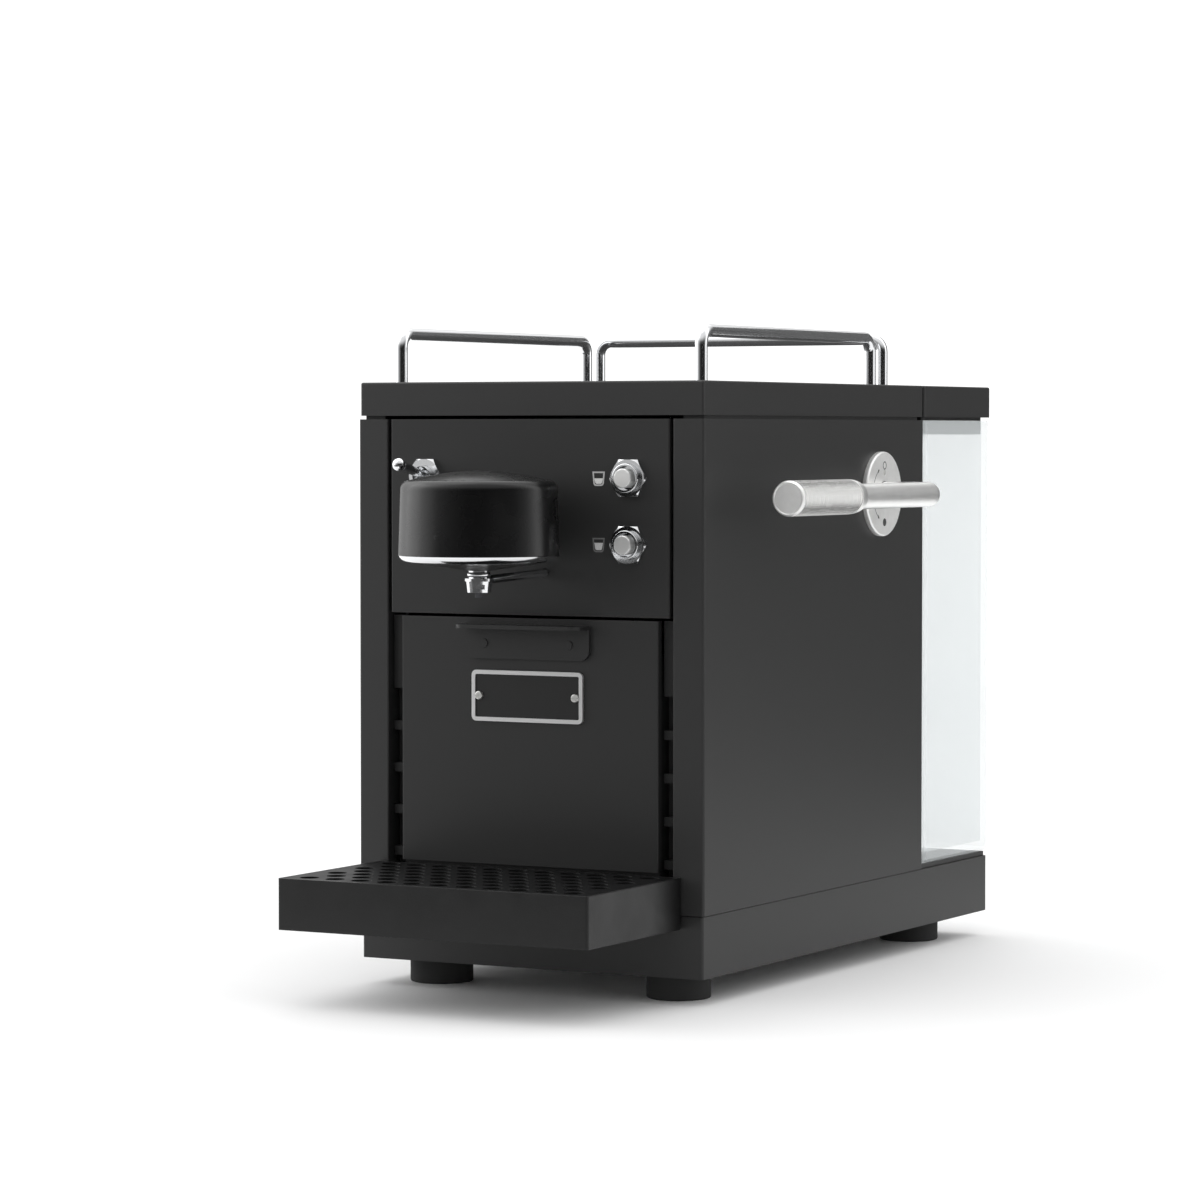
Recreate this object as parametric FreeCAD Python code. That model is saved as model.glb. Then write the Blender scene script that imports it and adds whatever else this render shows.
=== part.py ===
import FreeCAD, Part
import math
import os

# Pod coffee machine, millimetres. Origin: centre of the body's footprint, on the surface it stands on.
# +Z is up, the front faces -Y, and the lever is on the right, +X.

V = FreeCAD.Vector
X_AXIS = V(1, 0, 0)
Y_AXIS = V(0, 1, 0)
Z_AXIS = V(0, 0, 1)

# Overall sizes
WIDTH = 155.0
CASE_DEPTH = 204.6
TANK_DEPTH = 70.5
TANK_SEAM = 1.9
FOOT_HEIGHT = 10.7
PLINTH_HEIGHT = 24.2
WALL_HEIGHT = 191.2
LID_HEIGHT = 13.3

# Sheet metal and gaps
SHEET = 1.5
SEAM = 0.4
LID_GAP = 1.4
PANEL_GAP = 1.5
FREE = 0.3
RUNNING = 0.05
BEND_RADIUS = 1.0
PLINTH_INSET = 0.8
LID_INSET = 0.4
DECK_THICKNESS = 2.0
PILLAR_WIDTH = 13.5
RETURN_DEPTH = 10.0

# Feet
FOOT_RADIUS = 12.7
FOOT_SPACING_X = 107.8
FOOT_FROM_FRONT = 24.6
FOOT_FROM_REAR = 34.0
FOOT_RECESS_RADIUS = 4.6
FOOT_RECESS_DEPTH = 4.0
SCREW_RADIUS = 2.0
SCREW_HEAD_RADIUS = 4.0
SCREW_HEAD_HEIGHT = 2.4

# Brew unit: capsule chamber and the toggle linkage that closes it
SHAFT_FROM_FRONT = 160.5
SHAFT_HEIGHT = 195.8
SHAFT_RADIUS = 5.0
CRANK_RADIUS = 24.0
LINK_LENGTH = 48.0
LINK_EYE_RADIUS = 5.0
LINK_PIN_RADIUS = 2.5
LINK_THICKNESS = 4.0
LINK_GAP = 0.6
LUG_HALF_WIDTH = 5.5
CHAMBER_FROM_FRONT = 46.0
CHAMBER_RADIUS = 19.5
CHAMBER_DEPTH = 26.0
CARRIAGE_RADIUS = 23.0
LUG_REACH = 14.0
CARRIAGE_BACK = 2.2
GUIDE_LENGTH = 9.0
HOLDER_THICKNESS = 9.0
CAGE_HALF_WIDTH = 27.0
CAGE_THICKNESS = 3.0
GUIDE_WIDTH = 4.0
GUIDE_HALF_HEIGHT = 8.5
CAPSULE_SLOT_WIDTH = 41.0
SHUTTER_THICKNESS = 1.5

# Coffee outlet
HEAD_RADIUS = 31.0
HEAD_TAPER = 0.8
HEAD_REACH = 38.0
HEAD_BOTTOM = 171.2
HEAD_RING_HEIGHT = 2.9
HEAD_RING_WIDTH = 6.0
HEAD_RING_CURL = 4.6
HEAD_RING_BULGE = 0.9
HEAD_SIDE_TOP = 199.4
HEAD_FILLET = 3.6
HEAD_DOME_RISE = 3.5
HEAD_WALL = 2.0
NECK_RADIUS = 8.0
NECK_BORE_RADIUS = 2.5
NOZZLE_BOTTOM = 159.9
NOZZLE_BODY_HEIGHT = 4.3
NOZZLE_BODY_RADIUS = 5.1
NOZZLE_BODY_TAPER = 0.5
NOZZLE_FLANGE_RADIUS = 5.6
NOZZLE_FLANGE_HEIGHT = 1.1
NOZZLE_COLLAR_RADIUS = 4.1
NOZZLE_COLLAR_HEIGHT = 2.9
NOZZLE_BORE_RADIUS = 1.6
NOZZLE_SLOT_WIDTH = 3.2
NOZZLE_SLOT_HEIGHT = 1.8
NOZZLE_SLOT_TURN = 37.0
TIP_LENGTH = 5.0
TIP_PROUD = 2.0
TIP_WALL = 0.6
OUTLET_TUBE_RADIUS = 1.7
OUTLET_TUBE_LOW = 4.6
OUTLET_TUBE_RISE = 2.3
OUTLET_TUBE_SHIFT = 8.6

# Controls
BUTTON_X = 45.2
BUTTON_HEIGHTS = (203.6, 177.8)
BUTTON_RADIUS = 3.7
BUTTON_PROUD = 6.6
BUTTON_REACH = 3.0
BUTTON_STEM_RADIUS = 1.5
BUTTON_STEM_LENGTH = 5.0
BEZEL_RADIUS = 5.7
BEZEL_PROUD = 4.4
BEZEL_RECESS_RADIUS = 4.7
BEZEL_RECESS_DEPTH = 2.4
BUTTON_NUT_FLATS = 14.3
BUTTON_NUT_THICKNESS = 2.2
TOGGLE_X = -46.0
TOGGLE_HEIGHT = 204.0
TOGGLE_NUT_FLATS = 13.4
TOGGLE_THREAD_RADIUS = 4.2
TOGGLE_LENGTH = 23.3
TOGGLE_REST_ANGLE = 13.0
TOGGLE_BALL_RADIUS = 2.6
TOGGLE_TIP_RADIUS = 2.7
TOGGLE_TAIL_LENGTH = 6.0
TOGGLE_PROUD = 4.6
TOGGLE_BARREL = 3.0

# Used-capsule drawer
DRAWER_WIDTH = 115.2
DRAWER_BOTTOM = 51.2
DRAWER_TOP = 148.5
DRAWER_LENGTH = 142.0
BIN_WALL = 2.0
BIN_HEIGHT = 84.0
BIN_SIDE_GAP = 2.4
PULL_WIDTH = 56.0
PULL_BOTTOM = 132.4
PULL_TOP = 146.0
PULL_REACH = 11.0
PULL_CORNER = 4.0
PLATE_WIDTH = 49.8
PLATE_HEIGHT = 20.1
PLATE_CENTRE = 117.75
PLATE_BORDER = 1.6

# Cup rack and drip tray
RACK_RECESS = 4.0
RACK_WIDTH = 5.4
RACK_TOOTH = 3.6
RACK_PITCH = 16.75
RACK_TEETH = 4
RACK_BLOCK_BOTTOM = 119.3
TRAY_WIDTH = 136.0
TRAY_REACH = 75.5
TRAY_BOTTOM = 30.0
TRAY_HEIGHT = 20.0
TRAY_WALL = 1.5
TRAY_GAP = 0.5
GRID_HOLE_RADIUS = 3.8
GRID_PITCH = 11.6
GRID_THICKNESS = 1.5

# Cup rails on the lid
RAIL_RADIUS = 2.5
RAIL_HEIGHT = 19.5
RAIL_BEND = 5.5
RAIL_INSET = 9.9
RAIL_FRONT = 16.7
RAIL_REAR = 171.5
REAR_RAIL = 183.5

# Lever on the right side
DISC_RADIUS = 17.6
DISC_THICKNESS = 2.2
LEVER_BAR_RADIUS = 5.1
LEVER_OUT = 24.5
LEVER_BEND = 8.0
GRIP_RADIUS = 7.0
GRIP_FRONT = 22.5
GRIP_REAR = 84.0
GRIP_TAPER = 7.0
GRIP_OVERLAP = 10.0

# Water tank
TANK_WALL = 2.6
TANK_FLOOR = 4.3
TANK_CORNER = 3.0
TANK_LID_PLUG = 6.0
VALVE_RADIUS = 7.0

# Pump, heater and inlet
PUMP_FROM_CASE_REAR = 26.0
HEATER_FROM_CASE_REAR = 27.0
HEATER_HEIGHT = 50.0
HEATER_ABOVE_DECK = 56.0
BREW_HOSE_X = 34.0
BREW_HOSE_RADIUS = 2.0
FEED_HOSE_RADIUS = 3.0
INLET_RADIUS = 5.0
INLET_FROM_SIDE = 30.0
INLET_WALL = 1.5
INLET_LENGTH = 10.0
PUMP_COIL_HALF = 17.0
PUMP_COIL_LEFT = -30.0
PUMP_COIL_RIGHT = 8.0
PUMP_HEAD_RADIUS = 11.0
PUMP_HEAD_LENGTH = 26.0
PUMP_TAIL_RADIUS = 9.0
PUMP_TAIL_LENGTH = 16.0
PUMP_MOUNT_HEIGHT = 7.0
PUMP_MOUNT_HALF = 5.0
PUMP_MOUNT_DEPTH = 20.0
METER_RADIUS = 9.0
METER_HEIGHT = 22.0
METER_FROM_WALL = 12.0
HEATER_HALF_WIDTH = 38.0
HEATER_HALF_DEPTH = 15.0
HEATER_CORNER = 3.0
BRACKET_MARGIN = 4.0
BRACKET_ARM_HALF = 10.0
BRACKET_ARM_HEIGHT = 10.0
THERMOSTAT_RADIUS = 9.0
THERMOSTAT_THICKNESS = 6.0
BOARD_FROM_EDGE = 5.15
BOARD_FROM_FRONT = 40.0
BOARD_LENGTH = 90.0
BOARD_HEIGHT = 60.0
CHIP_THICKNESS = 6.5
CHIP_SIZE = 25.0
RELAY_THICKNESS = 10.5
RELAY_LENGTH = 20.0
RELAY_HEIGHT = 18.0

# Derived levels and planes
DEPTH = CASE_DEPTH + TANK_SEAM + TANK_DEPTH
FRONT = -DEPTH / 2
REAR = DEPTH / 2
SIDE = WIDTH / 2
CASE_REAR = FRONT + CASE_DEPTH
TANK_FRONT = CASE_REAR + TANK_SEAM
Z_PLINTH = FOOT_HEIGHT
Z_DECK = Z_PLINTH + PLINTH_HEIGHT
Z_DECK_TOP = Z_DECK + DECK_THICKNESS
Z_WALL = Z_DECK + SEAM
Z_WALL_TOP = Z_WALL + WALL_HEIGHT
Z_LID = Z_WALL_TOP + LID_GAP
Z_TOP = Z_LID + LID_HEIGHT
PILLAR_INNER = SIDE - PILLAR_WIDTH
PANEL_HALF = PILLAR_INNER - PANEL_GAP
PANEL_BOTTOM = DRAWER_TOP + 1.2
SHELF_TOP = PANEL_BOTTOM + DECK_THICKNESS
DRAWER_HALF = DRAWER_WIDTH / 2
RACK_CENTRE = (DRAWER_HALF + PILLAR_INNER) / 2 + 0.1
CHASSIS_X = RACK_CENTRE - SHEET / 2
RACK_BACK = FRONT + RACK_RECESS + 4.0
SHAFT_Y = FRONT + SHAFT_FROM_FRONT
CHAMBER_Y = FRONT + CHAMBER_FROM_FRONT
CARRIAGE_PIN_Y = SHAFT_Y - CRANK_RADIUS - LINK_LENGTH
CARRIAGE_TRAVEL = CRANK_RADIUS + LINK_LENGTH - math.sqrt(LINK_LENGTH ** 2 - CRANK_RADIUS ** 2)
HEAD_Y = FRONT - HEAD_REACH
RAIL_X = SIDE - RAIL_INSET
TANK_BOTTOM = Z_DECK_TOP + FREE
TANK_TOP = Z_WALL_TOP
PUMP_Y = CASE_REAR - PUMP_FROM_CASE_REAR
HEATER_Y = CASE_REAR - HEATER_FROM_CASE_REAR
FEET = [
    (sx * FOOT_SPACING_X / 2, y)
    for y in (FRONT + FOOT_FROM_FRONT, REAR - FOOT_FROM_REAR)
    for sx in (-1, 1)
]


# Shapes

def box(x0, x1, y0, y1, z0, z1):
    """Block between three pairs of planes."""
    return Part.makeBox(x1 - x0, y1 - y0, z1 - z0, V(x0, y0, z0))


def both(half_width, y0, y1, z0, z1):
    """Block centred on the machine's middle plane."""
    return box(-half_width, half_width, y0, y1, z0, z1)


def rod(x, y, z, axis, radius, length):
    """Cylinder that starts at a point and runs along an axis."""
    return Part.makeCylinder(radius, length, V(x, y, z), axis)


def ring(x, y, z, axis, outer, inner, length):
    """Cylinder with a round hole right through it."""
    return rod(x, y, z, axis, outer, length).cut(rod(x, y, z, axis, inner, length))


def joined(shapes):
    """One clean solid from shapes that meet or overlap."""
    shapes = list(shapes)
    return shapes[0].multiFuse(shapes[1:]).removeSplitter()


def pair(make):
    """The left and the right copy of a piece, as one node."""
    return Part.makeCompound([make(-1), make(1)])


def parallel_edges(shape, axis, wanted):
    """Straight edges along an axis whose middle point passes a test."""
    found = []
    for edge in shape.Edges:
        if not isinstance(edge.Curve, Part.Line):
            continue
        if edge.Curve.Direction.cross(axis).Length > 1e-6:
            continue
        if wanted(edge.CenterOfMass):
            found.append(edge)
    return found


def rounded(shape, axis, radius, wanted=lambda point: True):
    """Shape with the edges along an axis rounded."""
    return shape.makeFillet(radius, parallel_edges(shape, axis, wanted))


def hexagon(x, y, z, axis, flats, length):
    """Hexagonal prism along Y or Z, with two corners pointing along X."""
    corner = flats / math.sqrt(3)
    points = []
    for k in range(7):
        angle = math.radians(60 * k)
        across = corner * math.cos(angle)
        up = corner * math.sin(angle)
        if axis == Y_AXIS:
            points.append(V(x + across, y, z + up))
        else:
            points.append(V(x + across, y + up, z))
    return Part.Face(Part.makePolygon(points)).extrude(axis * length)


def nut(x, y, z, axis, flats, bore, length):
    """Hexagonal nut with chamfered corners and a round bore."""
    blank = hexagon(x, y, z, axis, flats, length)
    corner = flats / math.sqrt(3)
    cone = Part.makeCone(flats / 2 + 0.1, corner + 0.2, length * 0.45, V(x, y, z), axis)
    rest = rod(x, y, z, axis, corner + 0.2, length * 0.55)
    rest.translate(axis * length * 0.45)
    return blank.common(joined([cone, rest])).cut(rod(x, y, z, axis, bore, length))


def bent_path(points, bend):
    """Straight runs between points, joined by tangent arcs of one radius."""
    edges = []
    start = points[0]
    for before, corner, after in zip(points, points[1:], points[2:]):
        into = (corner - before).normalize()
        out = (after - corner).normalize()
        turn = into.getAngle(out)
        reach = bend * math.tan(turn / 2)
        enter = corner - into * reach
        leave = corner + out * reach
        inward = (out - into).normalize()
        centre = corner + inward * (bend / math.cos(turn / 2))
        edges.append(Part.LineSegment(start, enter).toShape())
        edges.append(Part.Arc(enter, centre - inward * bend, leave).toShape())
        start = leave
    edges.append(Part.LineSegment(start, points[-1]).toShape())
    return Part.Wire(edges)


def bent_rod(points, bend, radius):
    """Round rod that follows straight runs and arcs."""
    path = bent_path(points, bend)
    section = Part.Wire(Part.makeCircle(radius, points[0], points[1] - points[0]))
    return path.makePipeShell([section], True, False)


def plate_with_corners(half_width, z0, z1, y0, thickness, corner):
    """Upright plate in the XZ plane with four rounded corners."""
    plate = both(half_width, y0, y0 + thickness, z0, z1)
    return rounded(plate, Y_AXIS, corner)


# Base and feet

def base_pan():
    """Folded plinth: floor and four walls, open at the top."""
    half = SIDE - PLINTH_INSET
    y0 = FRONT + PLINTH_INSET
    y1 = REAR - SHEET
    outer = rounded(both(half, y0, y1, Z_PLINTH, Z_DECK), Z_AXIS, BEND_RADIUS)
    inner = both(half - SHEET, y0 + SHEET, y1 - SHEET, Z_PLINTH + DECK_THICKNESS, Z_DECK)
    pan = outer.cut(inner)
    for x, y in FEET:
        pan = pan.cut(rod(x, y, Z_PLINTH, Z_AXIS, SCREW_RADIUS + RUNNING, DECK_THICKNESS))
    x, y, z = inlet_place()
    return pan.cut(rod(x, y - 2 * SHEET, z, Y_AXIS, INLET_RADIUS, 3 * SHEET))


def feet():
    """Four round rubber feet, each with a recess for its screw."""
    shapes = []
    for x, y in FEET:
        foot = rod(x, y, 0, Z_AXIS, FOOT_RADIUS, FOOT_HEIGHT)
        bottom = [edge for edge in foot.Edges if edge.BoundBox.ZMax < 0.01]
        foot = foot.makeFillet(0.8, bottom)
        foot = foot.cut(rod(x, y, 0, Z_AXIS, FOOT_RECESS_RADIUS, FOOT_RECESS_DEPTH))
        foot = foot.cut(rod(x, y, 0, Z_AXIS, SCREW_RADIUS + RUNNING, FOOT_HEIGHT))
        shapes.append(foot)
    return Part.makeCompound(shapes)


def feet_screws():
    """One screw through each foot into the base pan."""
    shapes = []
    length = FOOT_HEIGHT - FOOT_RECESS_DEPTH + DECK_THICKNESS + 2.0
    for x, y in FEET:
        z = FOOT_RECESS_DEPTH - SCREW_HEAD_HEIGHT
        head = rod(x, y, z, Z_AXIS, SCREW_HEAD_RADIUS, SCREW_HEAD_HEIGHT)
        shank = rod(x, y, FOOT_RECESS_DEPTH, Z_AXIS, SCREW_RADIUS, length)
        shapes.append(joined([head, shank]))
    return Part.makeCompound(shapes)


def chassis_deck():
    """Steel deck on the plinth; its rear part is the tank's seat."""
    inset = PLINTH_INSET + SHEET / 2
    deck = both(SIDE - SHEET - 0.1, FRONT + inset, REAR - 2 * SHEET, Z_DECK, Z_DECK_TOP)
    return deck.cut(rod(0, tank_middle(), Z_DECK, Z_AXIS, VALVE_RADIUS + 2, DECK_THICKNESS))


def tank_middle():
    """Depth position of the tank's middle."""
    return TANK_FRONT + TANK_DEPTH / 2


# Case

def side_panel(side):
    """Folded side panel whose front return is the pillar."""
    inner = SIDE - SHEET
    sheet = box(inner, SIDE, FRONT, CASE_REAR, Z_WALL, Z_WALL_TOP)
    front = box(PILLAR_INNER, SIDE, FRONT, FRONT + SHEET, Z_WALL, Z_WALL_TOP)
    back = box(PILLAR_INNER, SIDE, CASE_REAR - SHEET, CASE_REAR, Z_DECK_TOP, Z_WALL_TOP)
    fold = box(PILLAR_INNER, PILLAR_INNER + SHEET, FRONT, FRONT + RETURN_DEPTH, Z_DECK_TOP, Z_WALL_TOP)
    panel = joined([sheet, front, back, fold])
    panel = rounded(panel, Z_AXIS, BEND_RADIUS, lambda p: p.x > SIDE - 0.01)
    panel = rounded(panel, Z_AXIS, BEND_RADIUS * 0.6,
                    lambda p: p.y < FRONT + 0.01 and p.x < PILLAR_INNER + 0.01)
    if side > 0:
        bore = rod(inner - 1, SHAFT_Y, SHAFT_HEIGHT, X_AXIS, SHAFT_RADIUS + 2.0, SHEET + 2)
        return panel.cut(bore)
    return panel.mirror(V(0, 0, 0), X_AXIS)


def rear_wall():
    """Sheet that closes the case in front of the tank."""
    half = PILLAR_INNER - FREE
    return both(half, CASE_REAR - SHEET, CASE_REAR, Z_DECK_TOP, Z_WALL_TOP)


def front_panel():
    """Upper front panel with its three folds and the holes for the controls."""
    panel = both(PANEL_HALF, FRONT, FRONT + SHEET, PANEL_BOTTOM, Z_WALL_TOP)
    folds = [
        box(s * (PANEL_HALF - SHEET / 2) - SHEET / 2, s * (PANEL_HALF - SHEET / 2) + SHEET / 2,
            FRONT, FRONT + RETURN_DEPTH, PANEL_BOTTOM, Z_WALL_TOP)
        for s in (-1, 1)
    ]
    lip = both(PANEL_HALF, FRONT, FRONT + RETURN_DEPTH, PANEL_BOTTOM, PANEL_BOTTOM + SHEET)
    panel = rounded(joined([panel, lip] + folds), Z_AXIS, BEND_RADIUS * 0.6, lambda p: p.y < FRONT + 0.01)
    y = FRONT - 1
    for z in BUTTON_HEIGHTS:
        panel = panel.cut(rod(BUTTON_X, y, z, Y_AXIS, BEZEL_RADIUS + RUNNING, SHEET + 2))
    panel = panel.cut(rod(TOGGLE_X, y, TOGGLE_HEIGHT, Y_AXIS, TOGGLE_THREAD_RADIUS + RUNNING, SHEET + 2))
    panel = panel.cut(rod(0, y, neck_height(), Y_AXIS, NECK_RADIUS + RUNNING, SHEET + 2))
    return panel.cut(outlet_run(OUTLET_TUBE_RADIUS + RUNNING))


def chassis_wall(side):
    """Inner wall beside the drawer that carries the brew shelf."""
    x = side * (CHASSIS_X + SHEET / 2)
    return box(x - SHEET / 2, x + SHEET / 2, RACK_BACK + SHEET, CASE_REAR - 2 * SHEET,
               Z_DECK_TOP, PANEL_BOTTOM)


def brew_shelf():
    """Shelf under the brew unit, with the opening that used capsules fall through."""
    half = CHASSIS_X + SHEET
    y0 = FRONT + RETURN_DEPTH + FREE
    shelf = both(half, y0, CASE_REAR - 2 * SHEET, PANEL_BOTTOM, SHELF_TOP)
    slot = both(CAPSULE_SLOT_WIDTH / 2, CHAMBER_Y - 2, CHAMBER_Y + CARRIAGE_TRAVEL + 2,
                SHELF_TOP - 3, SHELF_TOP + 1)
    shelf = shelf.cut(slot)
    hose_hole = rod(BREW_HOSE_X, HEATER_Y, PANEL_BOTTOM, Z_AXIS, BREW_HOSE_RADIUS + RUNNING, DECK_THICKNESS)
    return shelf.cut(hose_hole)


def top_cover():
    """Hollow top cover with the capsule slot, the rails' holes and a locating skirt."""
    y1 = CASE_REAR + LID_INSET
    outer = both(SIDE - LID_INSET, FRONT + LID_INSET, y1, Z_LID, Z_TOP)
    outer = rounded(outer, Z_AXIS, BEND_RADIUS)
    top_edges = [edge for edge in outer.Edges if edge.BoundBox.ZMin > Z_TOP - 0.01]
    outer = outer.makeFillet(0.8, top_edges)
    inner = both(SIDE - LID_INSET - SHEET, FRONT + LID_INSET + SHEET, y1 - SHEET,
                 Z_LID - 1, Z_TOP - DECK_THICKNESS)
    skirt = box(PILLAR_INNER + 2 * SHEET, SIDE - SHEET - 0.1, FRONT + 2 * SHEET, CASE_REAR - 2 * SHEET,
                Z_WALL_TOP - 6, Z_TOP - DECK_THICKNESS)
    hollow = box(PILLAR_INNER, SIDE - 2 * SHEET - 0.1, FRONT + 3 * SHEET, CASE_REAR - 3 * SHEET,
                 Z_WALL_TOP - 7, Z_TOP - DECK_THICKNESS)
    skirt = skirt.cut(hollow)
    cover = joined([outer.cut(inner), skirt, skirt.mirror(V(0, 0, 0), X_AXIS)])
    slot = both(CAPSULE_SLOT_WIDTH / 2 + SHEET, CHAMBER_Y - SHEET, CHAMBER_Y + CARRIAGE_TRAVEL + SHEET,
                Z_TOP - 4, Z_TOP + 1)
    cover = cover.cut(slot)
    for x, y in rail_feet():
        cover = cover.cut(rod(x, y, Z_TOP - 5, Z_AXIS, RAIL_RADIUS + RUNNING, 6))
    return cover


def capsule_chute():
    """Square funnel that guides a capsule from the top cover to the chamber."""
    half = CAPSULE_SLOT_WIDTH / 2
    y0 = CHAMBER_Y
    y1 = CHAMBER_Y + CARRIAGE_TRAVEL
    z0 = Z_WALL_TOP - 2.0
    outer = both(half + SHEET, y0 - SHEET, y1 + SHEET, z0, Z_TOP + 0.6)
    flange = both(half + 2.5 * SHEET, y0 - 2.5 * SHEET, y1 + 2.5 * SHEET, Z_TOP, Z_TOP + 0.6)
    return joined([outer, flange]).cut(both(half, y0, y1, z0 - 1, Z_TOP + 2))


# Cup rails

def side_rail_feet(side):
    """Where one side rail's two legs enter the top cover."""
    return [(side * RAIL_X, FRONT + RAIL_FRONT), (side * RAIL_X, FRONT + RAIL_REAR)]


def rear_rail_feet():
    """Where the rear rail's two legs enter the top cover."""
    return [(-RAIL_X, FRONT + REAR_RAIL), (RAIL_X, FRONT + REAR_RAIL)]


def rail_feet():
    """Every hole that a rail's leg passes through."""
    return side_rail_feet(-1) + side_rail_feet(1) + rear_rail_feet()


def rail(legs):
    """Round bar with a leg down at each end."""
    (xa, ya), (xb, yb) = legs
    low = Z_TOP - 6
    high = Z_TOP + RAIL_HEIGHT
    points = [V(xa, ya, low), V(xa, ya, high), V(xb, yb, high), V(xb, yb, low)]
    return bent_rod(points, RAIL_BEND, RAIL_RADIUS)


def rail_nuts():
    """A nut on each leg under the top cover."""
    z = Z_TOP - DECK_THICKNESS - 3.0
    return Part.makeCompound([
        nut(x, y, z, Z_AXIS, 8.0, RAIL_RADIUS + RUNNING, 3.0) for x, y in rail_feet()
    ])


# Cup rack, drip tray and drawer

def rack_strip(side):
    """Upright strip with the teeth that the drip tray hangs on."""
    x0 = side * RACK_CENTRE - RACK_WIDTH / 2
    x1 = side * RACK_CENTRE + RACK_WIDTH / 2
    y0 = FRONT + RACK_RECESS
    pieces = [
        box(x0, x1, RACK_BACK, RACK_BACK + SHEET, Z_DECK_TOP, DRAWER_TOP),
        box(x0, x1, y0, RACK_BACK, RACK_BLOCK_BOTTOM, DRAWER_TOP),
    ]
    for k in range(1, RACK_TEETH + 1):
        z = RACK_BLOCK_BOTTOM - k * RACK_PITCH
        pieces.append(box(x0, x1, y0, RACK_BACK, z, z + RACK_TOOTH))
    return joined(pieces)


def tray_pan():
    """Drip tray: a box with an open top and a ledge for its grid."""
    y0 = FRONT - TRAY_REACH
    y1 = FRONT - TRAY_GAP
    half = TRAY_WIDTH / 2
    z1 = TRAY_BOTTOM + TRAY_HEIGHT
    outer = rounded(both(half, y0, y1, TRAY_BOTTOM, z1), Z_AXIS, BEND_RADIUS)
    inner = both(half - TRAY_WALL, y0 + TRAY_WALL, y1 - TRAY_WALL, TRAY_BOTTOM + TRAY_WALL, z1)
    ledge_z = z1 - GRID_THICKNESS - FREE
    ledge = both(half - TRAY_WALL, y0 + TRAY_WALL, y1 - TRAY_WALL, ledge_z - 1.2, ledge_z)
    ledge = ledge.cut(both(half - TRAY_WALL - 3, y0 + TRAY_WALL + 3, y1 - TRAY_WALL - 3, ledge_z - 2, z1))
    return joined([outer.cut(inner), ledge] + tray_hooks())


def tray_hooks():
    """Two tongues at the tray's rear that sit below the lowest rack teeth."""
    half = RACK_WIDTH / 2 - FREE
    z1 = RACK_BLOCK_BOTTOM - RACK_TEETH * RACK_PITCH - 2 * FREE
    z1 = min(z1, TRAY_BOTTOM + TRAY_HEIGHT - 2)
    shapes = []
    for side in (-1, 1):
        x = side * RACK_CENTRE
        shapes.append(box(x - half, x + half, FRONT - TRAY_GAP, RACK_BACK - 2 * FREE, z1 - 8, z1))
    return shapes


def tray_grid():
    """Perforated plate with staggered round holes that lifts out of the tray."""
    half = TRAY_WIDTH / 2 - TRAY_WALL - FREE
    y0 = FRONT - TRAY_REACH + TRAY_WALL + FREE
    y1 = FRONT - TRAY_GAP - TRAY_WALL - FREE
    z1 = TRAY_BOTTOM + TRAY_HEIGHT
    plate = both(half, y0, y1, z1 - GRID_THICKNESS, z1)
    row_pitch = GRID_PITCH * math.sqrt(3) / 2
    edge = GRID_HOLE_RADIUS + 1.2
    rows = int((y1 - y0 - 2 * edge) / row_pitch) + 1
    y_start = (y0 + y1 - (rows - 1) * row_pitch) / 2
    holes = []
    for row in range(rows):
        shift = GRID_PITCH / 2 if row % 2 else 0
        count = int((half - edge - shift) / GRID_PITCH)
        places = [shift + k * GRID_PITCH for k in range(count + 1)]
        xs = sorted(set(places + [-p for p in places]))
        for x in xs:
            y = y_start + row * row_pitch
            holes.append(rod(x, y, z1 - GRID_THICKNESS - 1, Z_AXIS, GRID_HOLE_RADIUS, 4))
    return plate.cut(Part.makeCompound(holes))


def drawer_shelf():
    """Plate and side guides that the drawer slides on."""
    y0 = FRONT + PLINTH_INSET + SHEET
    y1 = FRONT + DRAWER_LENGTH + 8
    half = DRAWER_HALF - FREE
    z1 = DRAWER_BOTTOM - FREE
    plate = both(half, y0, y1, z1 - SHEET, z1)
    legs = [
        box(s * (half - 6) - SHEET, s * (half - 6) + SHEET, y0 + 12, y1, Z_DECK_TOP, z1 - SHEET)
        for s in (-1, 1)
    ]
    return Part.makeCompound([plate] + legs)


def drawer_front():
    """Folded front of the drawer."""
    plate = both(DRAWER_HALF, FRONT, FRONT + SHEET, DRAWER_BOTTOM, DRAWER_TOP)
    folds = [
        box(s * (DRAWER_HALF - SHEET / 2) - SHEET / 2, s * (DRAWER_HALF - SHEET / 2) + SHEET / 2,
            FRONT, FRONT + 2 * SHEET, DRAWER_BOTTOM, DRAWER_TOP)
        for s in (-1, 1)
    ]
    front = joined([plate] + folds)
    front = rounded(front, Z_AXIS, BEND_RADIUS * 0.6, lambda p: p.y < FRONT + 0.01)
    for x, z in pull_rivet_places():
        front = front.cut(rod(x, FRONT - 1, z, Y_AXIS, 1.2 + RUNNING, SHEET + 2))
    for x, z in plate_screw_places():
        front = front.cut(rod(x, FRONT - 1, z, Y_AXIS, 0.9 + RUNNING, SHEET + 2))
    return front


def capsule_bin():
    """Open bin behind the drawer's front that catches used capsules."""
    half = DRAWER_HALF - BIN_SIDE_GAP
    y0 = FRONT + SHEET + FREE
    y1 = FRONT + DRAWER_LENGTH
    z1 = DRAWER_BOTTOM + BIN_HEIGHT
    outer = rounded(both(half, y0, y1, DRAWER_BOTTOM, z1), Z_AXIS, 4.0)
    inner = both(half - BIN_WALL, y0 + BIN_WALL, y1 - BIN_WALL, DRAWER_BOTTOM + BIN_WALL, z1)
    return outer.cut(rounded(inner, Z_AXIS, 2.5))


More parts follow.
